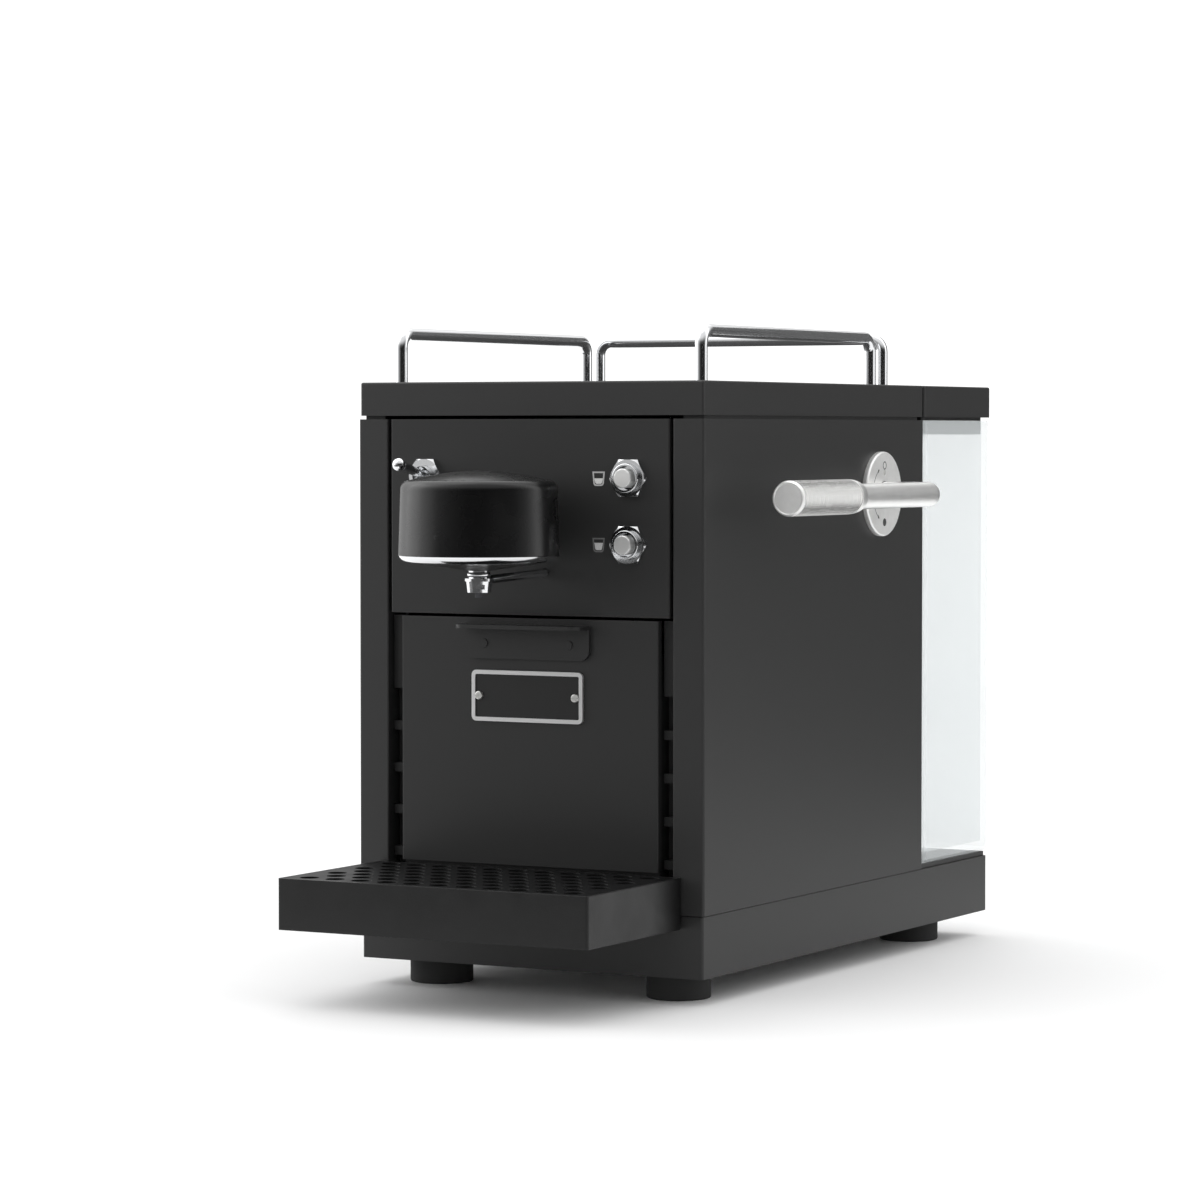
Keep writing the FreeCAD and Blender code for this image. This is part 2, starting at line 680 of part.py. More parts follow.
def pull_rivet_places():
    """Centres of the two rivets that hold the pull."""
    z = (PULL_BOTTOM + PULL_TOP - SHEET) / 2
    return [(-PULL_WIDTH * 0.34, z), (PULL_WIDTH * 0.34, z)]


def drawer_pull():
    """Angle pull: an upright plate with a finger tab along its top, and its rivets."""
    half = PULL_WIDTH / 2
    plate = both(half, FRONT - SHEET, FRONT, PULL_BOTTOM, PULL_TOP)
    plate = rounded(plate, Y_AXIS, PULL_CORNER, lambda p: p.z < PULL_BOTTOM + 0.01)
    tab = both(half, FRONT - PULL_REACH, FRONT, PULL_TOP - SHEET, PULL_TOP)
    tab = rounded(tab, Z_AXIS, PULL_CORNER, lambda p: p.y < FRONT - PULL_REACH + 0.01)
    pull = joined([plate, tab])
    for x, z in pull_rivet_places():
        pull = pull.cut(rod(x, FRONT - 5, z, Y_AXIS, 1.2 + RUNNING, 6))
    return Part.makeCompound([pull] + pull_rivets())


def pull_rivets():
    """Two flat rivets through the pull and the drawer's front."""
    length = 2 * SHEET + 0.2
    shapes = []
    for x, z in pull_rivet_places():
        head = rod(x, FRONT - SHEET - 0.4, z, Y_AXIS, 1.7, 0.4)
        shapes.append(joined([head, rod(x, FRONT - SHEET, z, Y_AXIS, 1.2, length)]))
    return shapes


def plate_screw_places():
    """Centres of the two screws that hold the nameplate."""
    x = PLATE_WIDTH / 2 - PLATE_BORDER - 1.7
    return [(-x, PLATE_CENTRE), (x, PLATE_CENTRE)]


def nameplate_frame():
    """Raised border of the nameplate."""
    z0 = PLATE_CENTRE - PLATE_HEIGHT / 2
    z1 = PLATE_CENTRE + PLATE_HEIGHT / 2
    outer = plate_with_corners(PLATE_WIDTH / 2, z0, z1, FRONT - 1.1, 1.1, 2.0)
    inner = plate_with_corners(PLATE_WIDTH / 2 - PLATE_BORDER, z0 + PLATE_BORDER, z1 - PLATE_BORDER,
                               FRONT - 2, 3, 0.6)
    return outer.cut(inner)


def nameplate_face():
    """Blank plate inside the border."""
    z0 = PLATE_CENTRE - PLATE_HEIGHT / 2 + PLATE_BORDER
    z1 = PLATE_CENTRE + PLATE_HEIGHT / 2 - PLATE_BORDER
    face = plate_with_corners(PLATE_WIDTH / 2 - PLATE_BORDER, z0, z1, FRONT - 0.7, 0.7, 0.6)
    for x, z in plate_screw_places():
        face = face.cut(rod(x, FRONT - 2, z, Y_AXIS, 0.9 + RUNNING, 3))
    return face


def nameplate_screws():
    """Two domed screws that hold the nameplate."""
    shapes = []
    for x, z in plate_screw_places():
        head = rod(x, FRONT - 1.7, z, Y_AXIS, 1.7, 1.0)
        rim = [edge for edge in head.Edges if edge.BoundBox.YMax < FRONT - 1.69]
        head = head.makeFillet(0.5, rim)
        slot = box(x - 2, x + 2, FRONT - 2, FRONT - 1.35, z - 0.25, z + 0.25)
        shank = rod(x, FRONT - 0.7, z, Y_AXIS, 0.9, SHEET + 0.9)
        shapes.append(joined([head.cut(slot), shank]))
    return shapes


# Coffee outlet

def neck_height():
    """Height of the tube that carries the head."""
    return (HEAD_BOTTOM + HEAD_RING_HEIGHT + HEAD_SIDE_TOP) / 2


def turned(profile):
    """Solid of a closed profile turned about the head's axis."""
    face = Part.Face(Part.Wire([curve.toShape() for curve in profile]))
    solid = face.revolve(V(0, 0, 0), Z_AXIS, 360)
    solid.translate(V(0, HEAD_Y, 0))
    return solid


def head_can():
    """Hollow can, slightly narrower at its filleted shoulder, with a shallow dome."""
    z0 = HEAD_BOTTOM + HEAD_RING_HEIGHT
    side = HEAD_RADIUS - HEAD_TAPER
    shoulder = side - HEAD_FILLET
    z1 = HEAD_SIDE_TOP
    top = z1 + HEAD_FILLET + HEAD_DOME_RISE
    half = math.sqrt(0.5)
    dome_radius = (shoulder ** 2 + HEAD_DOME_RISE ** 2) / (2 * HEAD_DOME_RISE)
    tilt = math.asin(shoulder / dome_radius) / 2
    dome_middle = V(dome_radius * math.sin(tilt), 0, top - dome_radius * (1 - math.cos(tilt)))
    corner_middle = V(shoulder + HEAD_FILLET * half, 0, z1 + HEAD_FILLET * half)
    profile = [
        Part.LineSegment(V(0, 0, z0), V(HEAD_RADIUS, 0, z0)),
        Part.LineSegment(V(HEAD_RADIUS, 0, z0), V(side, 0, z1)),
        Part.Arc(V(side, 0, z1), corner_middle, V(shoulder, 0, z1 + HEAD_FILLET)),
        Part.Arc(V(shoulder, 0, z1 + HEAD_FILLET), dome_middle, V(0, 0, top)),
        Part.LineSegment(V(0, 0, top), V(0, 0, z0)),
    ]
    can = turned(profile)
    can = can.cut(rod(0, HEAD_Y, z0, Z_AXIS, side - HEAD_WALL, z1 - z0))
    return can.cut(rod(0, HEAD_Y, neck_height(), Y_AXIS, NECK_RADIUS + RUNNING, HEAD_RADIUS + 5))


def head_ring():
    """Chrome band under the can that curls in towards the funnel."""
    low = HEAD_BOTTOM
    high = HEAD_BOTTOM + HEAD_RING_HEIGHT
    outer = V(HEAD_RADIUS, 0, high)
    curl = V(HEAD_RADIUS - HEAD_RING_CURL, 0, low)
    out = V(HEAD_RING_HEIGHT, 0, -HEAD_RING_CURL).normalize()
    middle = (outer + curl) * 0.5 + out * HEAD_RING_BULGE
    inner = HEAD_RADIUS - HEAD_RING_WIDTH
    return turned([
        Part.Arc(outer, middle, curl),
        Part.LineSegment(curl, V(inner, 0, low)),
        Part.LineSegment(V(inner, 0, low), V(inner, 0, high)),
        Part.LineSegment(V(inner, 0, high), outer),
    ])


def head_cone():
    """Shallow funnel that closes the head and holds the nozzle."""
    wide = HEAD_RADIUS - HEAD_RING_WIDTH - RUNNING
    z0 = nozzle_top()
    skirt = Part.makeCone(NOZZLE_COLLAR_RADIUS, wide, HEAD_BOTTOM - z0, V(0, HEAD_Y, z0))
    plug = rod(0, HEAD_Y, HEAD_BOTTOM, Z_AXIS, wide, HEAD_RING_HEIGHT)
    return joined([skirt, plug]).cut(rod(0, HEAD_Y, z0, Z_AXIS, NOZZLE_BORE_RADIUS, 20))


def head_neck():
    """Tube from the brew chamber through the front panel into the can."""
    y0 = HEAD_Y + HEAD_RADIUS - HEAD_TAPER - HEAD_WALL - 3
    y1 = CHAMBER_Y - HOLDER_THICKNESS
    return ring(0, y0, neck_height(), Y_AXIS, NECK_RADIUS, NECK_BORE_RADIUS, y1 - y0)


def nozzle_top():
    """Height of the top of the nozzle's collar."""
    return NOZZLE_BOTTOM + NOZZLE_BODY_HEIGHT + NOZZLE_FLANGE_HEIGHT + NOZZLE_COLLAR_HEIGHT


def outlet_run(radius):
    """Straight round bar along the outlet tube's line."""
    z = NOZZLE_BOTTOM + OUTLET_TUBE_LOW
    start = V(0, HEAD_Y + 3.0, z)
    end = V(OUTLET_TUBE_SHIFT, FRONT + 6.0, z + OUTLET_TUBE_RISE)
    line = end - start
    return Part.makeCylinder(radius, line.Length, start, line)


def outlet_tube():
    """Slanting tube from the front panel to the nozzle."""
    return outlet_run(OUTLET_TUBE_RADIUS).cut(nozzle_blank())


def nozzle_blank():
    """Nozzle without its bore: rounded collar, flange and tapered body."""
    z1 = NOZZLE_BOTTOM + NOZZLE_BODY_HEIGHT
    z2 = z1 + NOZZLE_FLANGE_HEIGHT
    body = Part.makeCone(NOZZLE_BODY_RADIUS - NOZZLE_BODY_TAPER, NOZZLE_BODY_RADIUS, NOZZLE_BODY_HEIGHT,
                         V(0, HEAD_Y, NOZZLE_BOTTOM))
    flange = rod(0, HEAD_Y, z1, Z_AXIS, NOZZLE_FLANGE_RADIUS, NOZZLE_FLANGE_HEIGHT)
    collar = rod(0, HEAD_Y, z2, Z_AXIS, NOZZLE_COLLAR_RADIUS, NOZZLE_COLLAR_HEIGHT)
    bulge = Part.makeTorus(NOZZLE_COLLAR_RADIUS - 0.4, NOZZLE_COLLAR_HEIGHT * 0.35,
                           V(0, HEAD_Y, z2 + NOZZLE_COLLAR_HEIGHT / 2))
    return joined([body, flange, collar, bulge])


def spout_nozzle():
    """Chromed nozzle, bored through, with a key slot in its side."""
    nozzle = nozzle_blank().cut(rod(0, HEAD_Y, NOZZLE_BOTTOM - 1, Z_AXIS, NOZZLE_BORE_RADIUS, 12))
    z = NOZZLE_BOTTOM + (NOZZLE_BODY_HEIGHT - NOZZLE_SLOT_HEIGHT) / 2
    slot = both(NOZZLE_SLOT_WIDTH / 2, HEAD_Y - NOZZLE_FLANGE_RADIUS, HEAD_Y - NOZZLE_BODY_RADIUS + 1.4,
                z, z + NOZZLE_SLOT_HEIGHT)
    slot.rotate(V(0, HEAD_Y, 0), Z_AXIS, NOZZLE_SLOT_TURN)
    return nozzle.cut(slot)


def spout_tip():
    """Short rubber outlet below the nozzle."""
    outer = NOZZLE_BORE_RADIUS - RUNNING
    return ring(0, HEAD_Y, NOZZLE_BOTTOM - TIP_PROUD, Z_AXIS, outer, outer - TIP_WALL, TIP_LENGTH)


# Controls

def button_cap(z):
    """Push button cap with its stem."""
    length = BUTTON_PROUD + SHEET + BUTTON_REACH
    head = rod(BUTTON_X, FRONT - BUTTON_PROUD, z, Y_AXIS, BUTTON_RADIUS, length)
    rim = [edge for edge in head.Edges if edge.BoundBox.YMax < FRONT - BUTTON_PROUD + 0.01]
    head = head.makeFillet(0.4, rim)
    stem = rod(BUTTON_X, FRONT + SHEET + BUTTON_REACH, z, Y_AXIS, BUTTON_STEM_RADIUS, BUTTON_STEM_LENGTH)
    return joined([head, stem])


def button_bezels():
    """Round bezels that guide the caps, with the barrels behind the panel."""
    shapes = []
    length = BEZEL_PROUD + SHEET + 2 * BUTTON_NUT_THICKNESS
    for z in BUTTON_HEIGHTS:
        bezel = rod(BUTTON_X, FRONT - BEZEL_PROUD, z, Y_AXIS, BEZEL_RADIUS, length)
        rim = [edge for edge in bezel.Edges if edge.BoundBox.YMax < FRONT - BEZEL_PROUD + 0.01]
        bezel = bezel.makeFillet(0.4, rim)
        bore = rod(BUTTON_X, FRONT - BEZEL_PROUD, z, Y_AXIS, BUTTON_RADIUS + RUNNING, length)
        recess = rod(BUTTON_X, FRONT - BEZEL_PROUD, z, Y_AXIS, BEZEL_RECESS_RADIUS, BEZEL_RECESS_DEPTH)
        shapes.append(bezel.cut(bore).cut(recess))
    return shapes


def button_nuts():
    """Front and rear nut on each bezel's barrel."""
    shapes = []
    for z in BUTTON_HEIGHTS:
        for y in (FRONT - BUTTON_NUT_THICKNESS, FRONT + SHEET):
            shapes.append(nut(BUTTON_X, y, z, Y_AXIS, BUTTON_NUT_FLATS, BEZEL_RADIUS + RUNNING,
                              BUTTON_NUT_THICKNESS))
    return shapes


def button_switches():
    """Switch body behind each push button."""
    y0 = FRONT + SHEET + 2 * BUTTON_NUT_THICKNESS
    shapes = []
    for z in BUTTON_HEIGHTS:
        body = box(BUTTON_X - 7, BUTTON_X + 7, y0, y0 + 14, z - 7, z + 7)
        pocket = rod(BUTTON_X, y0, z, Y_AXIS, BUTTON_RADIUS + 0.5, 6.5)
        deep = rod(BUTTON_X, y0, z, Y_AXIS, BUTTON_STEM_RADIUS + 0.5, 9.0)
        shapes.append(body.cut(pocket).cut(deep))
    return shapes


def toggle_pivot():
    """Point that the toggle's bat turns about."""
    return V(TOGGLE_X, FRONT - 1.0, TOGGLE_HEIGHT)


def toggle_bat():
    """Bat lever: pivot ball, tapered stem and rounded tip."""
    pivot = toggle_pivot()
    angle = math.radians(TOGGLE_REST_ANGLE)
    out = V(0, -math.cos(angle), math.sin(angle))
    stem_length = TOGGLE_LENGTH - TOGGLE_TIP_RADIUS
    ball = Part.makeSphere(TOGGLE_BALL_RADIUS, pivot)
    stem = Part.makeCone(1.4, 2.2, stem_length, pivot, out)
    tip = Part.makeSphere(TOGGLE_TIP_RADIUS, pivot + out * stem_length)
    tail = Part.makeCylinder(1.3, TOGGLE_TAIL_LENGTH, pivot, out * -1)
    return joined([ball, stem, tip, tail])


def toggle_bushing():
    """Threaded bushing with a flared mouth for the bat."""
    y0 = FRONT - TOGGLE_PROUD
    length = TOGGLE_PROUD + SHEET + TOGGLE_BARREL
    bushing = rod(TOGGLE_X, y0, TOGGLE_HEIGHT, Y_AXIS, TOGGLE_THREAD_RADIUS, length)
    bore = rod(TOGGLE_X, y0, TOGGLE_HEIGHT, Y_AXIS, TOGGLE_BALL_RADIUS + RUNNING, length)
    mouth = Part.makeCone(3.9, TOGGLE_BALL_RADIUS, 3.0, V(TOGGLE_X, y0, TOGGLE_HEIGHT), Y_AXIS)
    rear = Part.makeCone(TOGGLE_BALL_RADIUS, 3.6, 4.0, V(TOGGLE_X, FRONT + 0.5, TOGGLE_HEIGHT), Y_AXIS)
    return bushing.cut(bore).cut(mouth).cut(rear)


def toggle_nuts():
    """Front and rear nut on the toggle's bushing."""
    return [
        nut(TOGGLE_X, y, TOGGLE_HEIGHT, Y_AXIS, TOGGLE_NUT_FLATS, TOGGLE_THREAD_RADIUS + RUNNING, 2.2)
        for y in (FRONT - 2.2, FRONT + SHEET)
    ]


def toggle_switch_body():
    """Switch body behind the toggle, hollow around the bat's tail."""
    y0 = FRONT + SHEET + TOGGLE_BARREL
    body = box(TOGGLE_X - 6.5, TOGGLE_X + 6.5, y0, y0 + 18, TOGGLE_HEIGHT - 13, TOGGLE_HEIGHT + 13)
    return body.cut(box(TOGGLE_X - 3, TOGGLE_X + 3, y0, y0 + 8, TOGGLE_HEIGHT - 5, TOGGLE_HEIGHT + 5))


def control_bushings():
    """The push buttons' bezels and the toggle's bushing."""
    return Part.makeCompound(button_bezels() + [toggle_bushing()])


def panel_nuts():
    """Every nut that clamps a control to the front panel."""
    return Part.makeCompound(button_nuts() + toggle_nuts())


def switch_bodies():
    """Switch bodies behind the push buttons and the toggle."""
    return Part.makeCompound(button_switches() + [toggle_switch_body()])


# Lever

def lever_disc():
    """Fixed round escutcheon on the right panel."""
    disc = rod(SIDE, SHAFT_Y, SHAFT_HEIGHT, X_AXIS, DISC_RADIUS, DISC_THICKNESS)
    rim = [edge for edge in disc.Edges if edge.BoundBox.XMin > SIDE + DISC_THICKNESS - 0.01]
    disc = disc.makeFillet(0.8, rim)
    disc = disc.cut(rod(SIDE, SHAFT_Y, SHAFT_HEIGHT, X_AXIS, LEVER_BAR_RADIUS + FREE, DISC_THICKNESS))
    return disc.cut(rod(SIDE + 1, SHAFT_Y, SHAFT_HEIGHT + 9.0, X_AXIS, 1.3, DISC_THICKNESS))


def lever_arm():
    """Bar that leaves the shaft along X and bends forward into the grip."""
    x0 = SIDE + FREE
    x1 = SIDE + LEVER_OUT
    end = V(x1, FRONT + GRIP_FRONT + GRIP_OVERLAP, SHAFT_HEIGHT)
    points = [V(x0, SHAFT_Y, SHAFT_HEIGHT), V(x1, SHAFT_Y, SHAFT_HEIGHT), end]
    return bent_rod(points, LEVER_BEND, LEVER_BAR_RADIUS)


def lever_grip():
    """Round grip over the bar's end, with a tapered rear."""
    x = SIDE + LEVER_OUT
    front = FRONT + GRIP_FRONT + 2.0
    shoulder = FRONT + GRIP_REAR - GRIP_TAPER
    bar_end = FRONT + GRIP_FRONT + GRIP_OVERLAP - RUNNING
    sleeve = rod(x, front, SHAFT_HEIGHT, Y_AXIS, GRIP_RADIUS, shoulder - front)
    cone = Part.makeCone(GRIP_RADIUS, LEVER_BAR_RADIUS + 0.3, GRIP_TAPER,
                         V(x, shoulder, SHAFT_HEIGHT), Y_AXIS)
    bore = rod(x, bar_end, SHAFT_HEIGHT, Y_AXIS, LEVER_BAR_RADIUS + RUNNING / 2, GRIP_REAR)
    return Part.makeCompound([joined([sleeve, cone]).cut(bore), grip_cap()])


def grip_cap():
    """Bevelled cap that closes the grip's front end."""
    x = SIDE + LEVER_OUT
    y = FRONT + GRIP_FRONT
    cap = Part.makeCone(GRIP_RADIUS - 1.0, GRIP_RADIUS, 1.0, V(x, y, SHAFT_HEIGHT), Y_AXIS)
    return joined([cap, rod(x, y + 1.0, SHAFT_HEIGHT, Y_AXIS, GRIP_RADIUS, 1.0)])


def cross_shaft():
    """Shaft from the brew cage out through the right panel to the lever."""
    x0 = -(CAGE_HALF_WIDTH + CAGE_THICKNESS + 4)
    return rod(x0, SHAFT_Y, SHAFT_HEIGHT, X_AXIS, SHAFT_RADIUS, SIDE + FREE - x0)


def shaft_bushes():
    """Bushes that carry the shaft in the cage and in the right panel."""
    shapes = []
    outer = SHAFT_RADIUS + 2.0 - RUNNING
    places = [
        (-CAGE_HALF_WIDTH - CAGE_THICKNESS, CAGE_THICKNESS),
        (CAGE_HALF_WIDTH, CAGE_THICKNESS),
        (SIDE - SHEET, SHEET),
    ]
    for x, length in places:
        shapes.append(ring(x, SHAFT_Y, SHAFT_HEIGHT, X_AXIS, outer, SHAFT_RADIUS + RUNNING, length))
    return Part.makeCompound(shapes)


# Brew unit

def crank_inner():
    """Distance from the middle plane to the cranks' inner faces."""
    return LUG_HALF_WIDTH + LINK_GAP + LINK_THICKNESS + LINK_GAP


def plate_between(x0, thickness, eyes, radius):
    """Flat bar with round ends between two points, in the YZ plane."""
    (ya, za), (yb, zb) = eyes
    ends = [rod(x0, y, z, X_AXIS, radius, thickness) for y, z in eyes]
    along = V(0, yb - ya, zb - za)
    across = V(0, -along.z, along.y).normalize() * radius
    a = V(x0, ya, za)
    b = V(x0, yb, zb)
    corners = [a + across, b + across, b - across, a - across, a + across]
    middle = Part.Face(Part.makePolygon(corners)).extrude(X_AXIS * thickness)
    return joined(ends + [middle])


def cranks():
    """Two cranks on the shaft, joined by the pin that the links turn on."""
    pin_y = SHAFT_Y - CRANK_RADIUS
    inner = crank_inner()
    eyes = [(SHAFT_Y, SHAFT_HEIGHT), (pin_y, SHAFT_HEIGHT)]
    shapes = []
    for x0 in (-inner - 5.0, inner):
        arm = plate_between(x0, 5.0, eyes, LINK_EYE_RADIUS)
        hub = rod(x0, SHAFT_Y, SHAFT_HEIGHT, X_AXIS, SHAFT_RADIUS + 3.5, 5.0)
        shapes.append(joined([arm, hub]))
    pin = rod(-inner - 5.0, pin_y, SHAFT_HEIGHT, X_AXIS, LINK_PIN_RADIUS, 2 * inner + 10.0)
    body = joined(shapes + [pin])
    return body.cut(rod(-inner - 6.0, SHAFT_Y, SHAFT_HEIGHT, X_AXIS, SHAFT_RADIUS, 2 * inner + 12.0))


def links():
    """Two links from the crank pin to the carriage, joined by a spacer."""
    pin_y = SHAFT_Y - CRANK_RADIUS
    eyes = [(pin_y, SHAFT_HEIGHT), (CARRIAGE_PIN_Y, SHAFT_HEIGHT)]
    inner = LUG_HALF_WIDTH + LINK_GAP
    shapes = []
    for x0 in (-inner - LINK_THICKNESS, inner):
        shapes.append(plate_between(x0, LINK_THICKNESS, eyes, LINK_EYE_RADIUS))
    spacer = ring(-inner, pin_y, SHAFT_HEIGHT, X_AXIS, LINK_EYE_RADIUS, LINK_PIN_RADIUS, 2 * inner)
    body = joined(shapes + [spacer])
    bore = rod(-inner - LINK_THICKNESS - 1, pin_y, SHAFT_HEIGHT, X_AXIS, LINK_PIN_RADIUS + RUNNING,
               2 * inner + 2 * LINK_THICKNESS + 2)
    body = body.cut(bore)
    hole = rod(-inner - LINK_THICKNESS - 1, CARRIAGE_PIN_Y, SHAFT_HEIGHT, X_AXIS, LINK_PIN_RADIUS + RUNNING,
               2 * inner + 2 * LINK_THICKNESS + 2)
    return body.cut(hole)


def carriage_back():
    """Rear face of the carriage's body, clear of the links and behind the chamber."""
    behind_chamber = CHAMBER_Y + FREE + CHAMBER_DEPTH + CARRIAGE_BACK
    return max(CARRIAGE_PIN_Y - LUG_REACH, behind_chamber)


def carriage():
    """Injector carriage: the cup that closes over the capsule, its lug and needles."""
    y0 = CHAMBER_Y + FREE
    y1 = carriage_back()
    body = rod(0, y0, SHAFT_HEIGHT, Y_AXIS, CARRIAGE_RADIUS, y1 - y0)
    guides = both(CAGE_HALF_WIDTH - FREE, y1 - GUIDE_LENGTH, y1,
                  SHAFT_HEIGHT - GUIDE_HALF_HEIGHT, SHAFT_HEIGHT + GUIDE_HALF_HEIGHT)
    cup = rod(0, y0, SHAFT_HEIGHT, Y_AXIS, CHAMBER_RADIUS, CHAMBER_DEPTH)
    lug = both(LUG_HALF_WIDTH, y1, CARRIAGE_PIN_Y + 5, SHAFT_HEIGHT - 5, SHAFT_HEIGHT + 5)
    body = joined([body, guides]).cut(cup)
    body = joined([body, lug])
    pin_hole = rod(-LUG_HALF_WIDTH, CARRIAGE_PIN_Y, SHAFT_HEIGHT, X_AXIS, LINK_PIN_RADIUS,
                   2 * LUG_HALF_WIDTH)
    return Part.makeCompound([body.cut(pin_hole)] + injector_needles())


def injector_needles():
    """Needles that pierce the capsule from behind."""
    y1 = CHAMBER_Y + FREE + CHAMBER_DEPTH
    shapes = []
    for k in range(3):
        angle = math.radians(90 + 120 * k)
        x = 7.0 * math.cos(angle)
        z = SHAFT_HEIGHT + 7.0 * math.sin(angle)
        shapes.append(Part.makeCone(0.2, 1.1, 5.0, V(x, y1 - 5.0, z), Y_AXIS))
    return shapes


def capsule_holder():
    """Fixed plate that the capsule is pressed against."""
    y0 = CHAMBER_Y - HOLDER_THICKNESS
    plate = both(CAGE_HALF_WIDTH, y0, CHAMBER_Y, SHELF_TOP, SHAFT_HEIGHT + CARRIAGE_RADIUS)
    duct = rod(0, y0, neck_height(), Y_AXIS, 2.5, HOLDER_THICKNESS)
    return plate.cut(duct)


def brew_cage(side):
    """Side plate of the brew unit, with the shaft's bore."""
    x0 = CAGE_HALF_WIDTH if side > 0 else -CAGE_HALF_WIDTH - CAGE_THICKNESS
    y0 = CHAMBER_Y - HOLDER_THICKNESS
    plate = box(x0, x0 + CAGE_THICKNESS, y0, SHAFT_Y + 22, SHELF_TOP, SHAFT_HEIGHT + CARRIAGE_RADIUS)
    inside = side * (CAGE_HALF_WIDTH - GUIDE_WIDTH / 2)
    ribs = [
        box(inside - GUIDE_WIDTH / 2, inside + GUIDE_WIDTH / 2,
            CHAMBER_Y + CHAMBER_DEPTH, SHAFT_Y - 22, z, z + 3)
        for z in (SHAFT_HEIGHT - GUIDE_HALF_HEIGHT - FREE - 3, SHAFT_HEIGHT + GUIDE_HALF_HEIGHT + FREE)
    ]
    plate = joined([plate] + ribs)
    return plate.cut(rod(x0, SHAFT_Y, SHAFT_HEIGHT, X_AXIS, SHAFT_RADIUS + 2.0, CAGE_THICKNESS))


def slot_shutter():
    """Sliding shutter that covers the capsule slot while the lever is closed."""
    z0 = SHAFT_HEIGHT + CARRIAGE_RADIUS + FREE
    half = CAPSULE_SLOT_WIDTH / 2 + SHEET
    y0 = CHAMBER_Y - SHEET
    plate = both(half, y0, y0 + CARRIAGE_TRAVEL + 2 * SHEET, z0 + 1.2, z0 + 1.2 + SHUTTER_THICKNESS)
    stay = both(5.0, y0 + CHAMBER_DEPTH, y0 + CHAMBER_DEPTH + 5,
                SHAFT_HEIGHT + CARRIAGE_RADIUS - 1.5, z0 + 1.2)
    return joined([plate, stay]).cut(rod(0, CHAMBER_Y, SHAFT_HEIGHT, Y_AXIS, CARRIAGE_RADIUS, 60))


# Pump, heater and electrics

def pump():
    """Vibration pump lying across the rear of the case, and its flow meter."""
    z = pump_axis()
    coil = box(PUMP_COIL_LEFT, PUMP_COIL_RIGHT, PUMP_Y - PUMP_COIL_HALF, PUMP_Y + PUMP_COIL_HALF,
               z - PUMP_COIL_HALF, z + PUMP_COIL_HALF)
    head = rod(PUMP_COIL_RIGHT, PUMP_Y, z, X_AXIS, PUMP_HEAD_RADIUS, PUMP_HEAD_LENGTH)
    tail = rod(PUMP_COIL_LEFT - PUMP_TAIL_LENGTH, PUMP_Y, z, X_AXIS, PUMP_TAIL_RADIUS, PUMP_TAIL_LENGTH)
    return Part.makeCompound([joined([coil, head, tail]), flow_meter()])


def pump_axis():
    """Height of the pump's axis: its coil stands on the mounts."""
    return Z_DECK_TOP + PUMP_MOUNT_HEIGHT + PUMP_COIL_HALF


def pump_mounts():
    """Rubber mounts under the pump."""
    middle = (PUMP_COIL_LEFT + PUMP_COIL_RIGHT) / 2
    reach = PUMP_COIL_RIGHT - middle - 8.0
    return Part.makeCompound([
        box(x - PUMP_MOUNT_HALF, x + PUMP_MOUNT_HALF,
            PUMP_Y - PUMP_MOUNT_DEPTH / 2, PUMP_Y + PUMP_MOUNT_DEPTH / 2,
            Z_DECK_TOP, Z_DECK_TOP + PUMP_MOUNT_HEIGHT)
        for x in (middle - reach, middle + reach)
    ])


def flow_meter_x():
    """Position of the flow meter across the case."""
    return CHASSIS_X - METER_FROM_WALL


def flow_meter():
    """Flow meter beside the pump, standing on the deck."""
    return rod(flow_meter_x(), PUMP_Y, Z_DECK_TOP, Z_AXIS, METER_RADIUS, METER_HEIGHT)


def heater_block():
    """Heater with its bracket and thermostat."""
    return Part.makeCompound([thermoblock(), heater_bracket(), thermostat()])


def thermoblock():
    """Heater block above the pump."""
    z0 = Z_DECK_TOP + HEATER_ABOVE_DECK
    block = both(HEATER_HALF_WIDTH, HEATER_Y - HEATER_HALF_DEPTH, HEATER_Y + HEATER_HALF_DEPTH,
                 z0, z0 + HEATER_HEIGHT)
    return rounded(block, Z_AXIS, HEATER_CORNER)


def heater_bracket():
    """Bracket that carries the heater block on the rear wall."""
    y1 = CASE_REAR - SHEET
    z0 = Z_DECK_TOP + HEATER_ABOVE_DECK
    back = both(HEATER_HALF_WIDTH + BRACKET_MARGIN, y1 - SHEET, y1, z0 - BRACKET_MARGIN,
                z0 + HEATER_HEIGHT + BRACKET_MARGIN)
    arm_low = z0 + (HEATER_HEIGHT - BRACKET_ARM_HEIGHT) / 2
    arm = both(BRACKET_ARM_HALF, HEATER_Y + HEATER_HALF_DEPTH, y1 - SHEET,
               arm_low, arm_low + BRACKET_ARM_HEIGHT)
    return joined([back, arm])


def thermostat():
    """Disc thermostat on the heater block."""
    z = Z_DECK_TOP + HEATER_ABOVE_DECK + HEATER_HEIGHT / 2
    y0 = HEATER_Y - HEATER_HALF_DEPTH - THERMOSTAT_THICKNESS
    return rod(0, y0, z, Y_AXIS, THERMOSTAT_RADIUS, THERMOSTAT_THICKNESS)


def hoses():
    """Every hose inside the case."""
    return Part.makeCompound([feed_hose(), brew_hose()])


def feed_hose():
    """Hose from the tank's seat through the base to the flow meter."""
    y = tank_middle()
    z = Z_PLINTH + 10
    x = flow_meter_x()
    points = [V(0, y, Z_DECK - 2), V(0, y, z), V(x, PUMP_Y, z), V(x, PUMP_Y, Z_DECK)]
    return bent_rod(points, 6.0, FEED_HOSE_RADIUS)


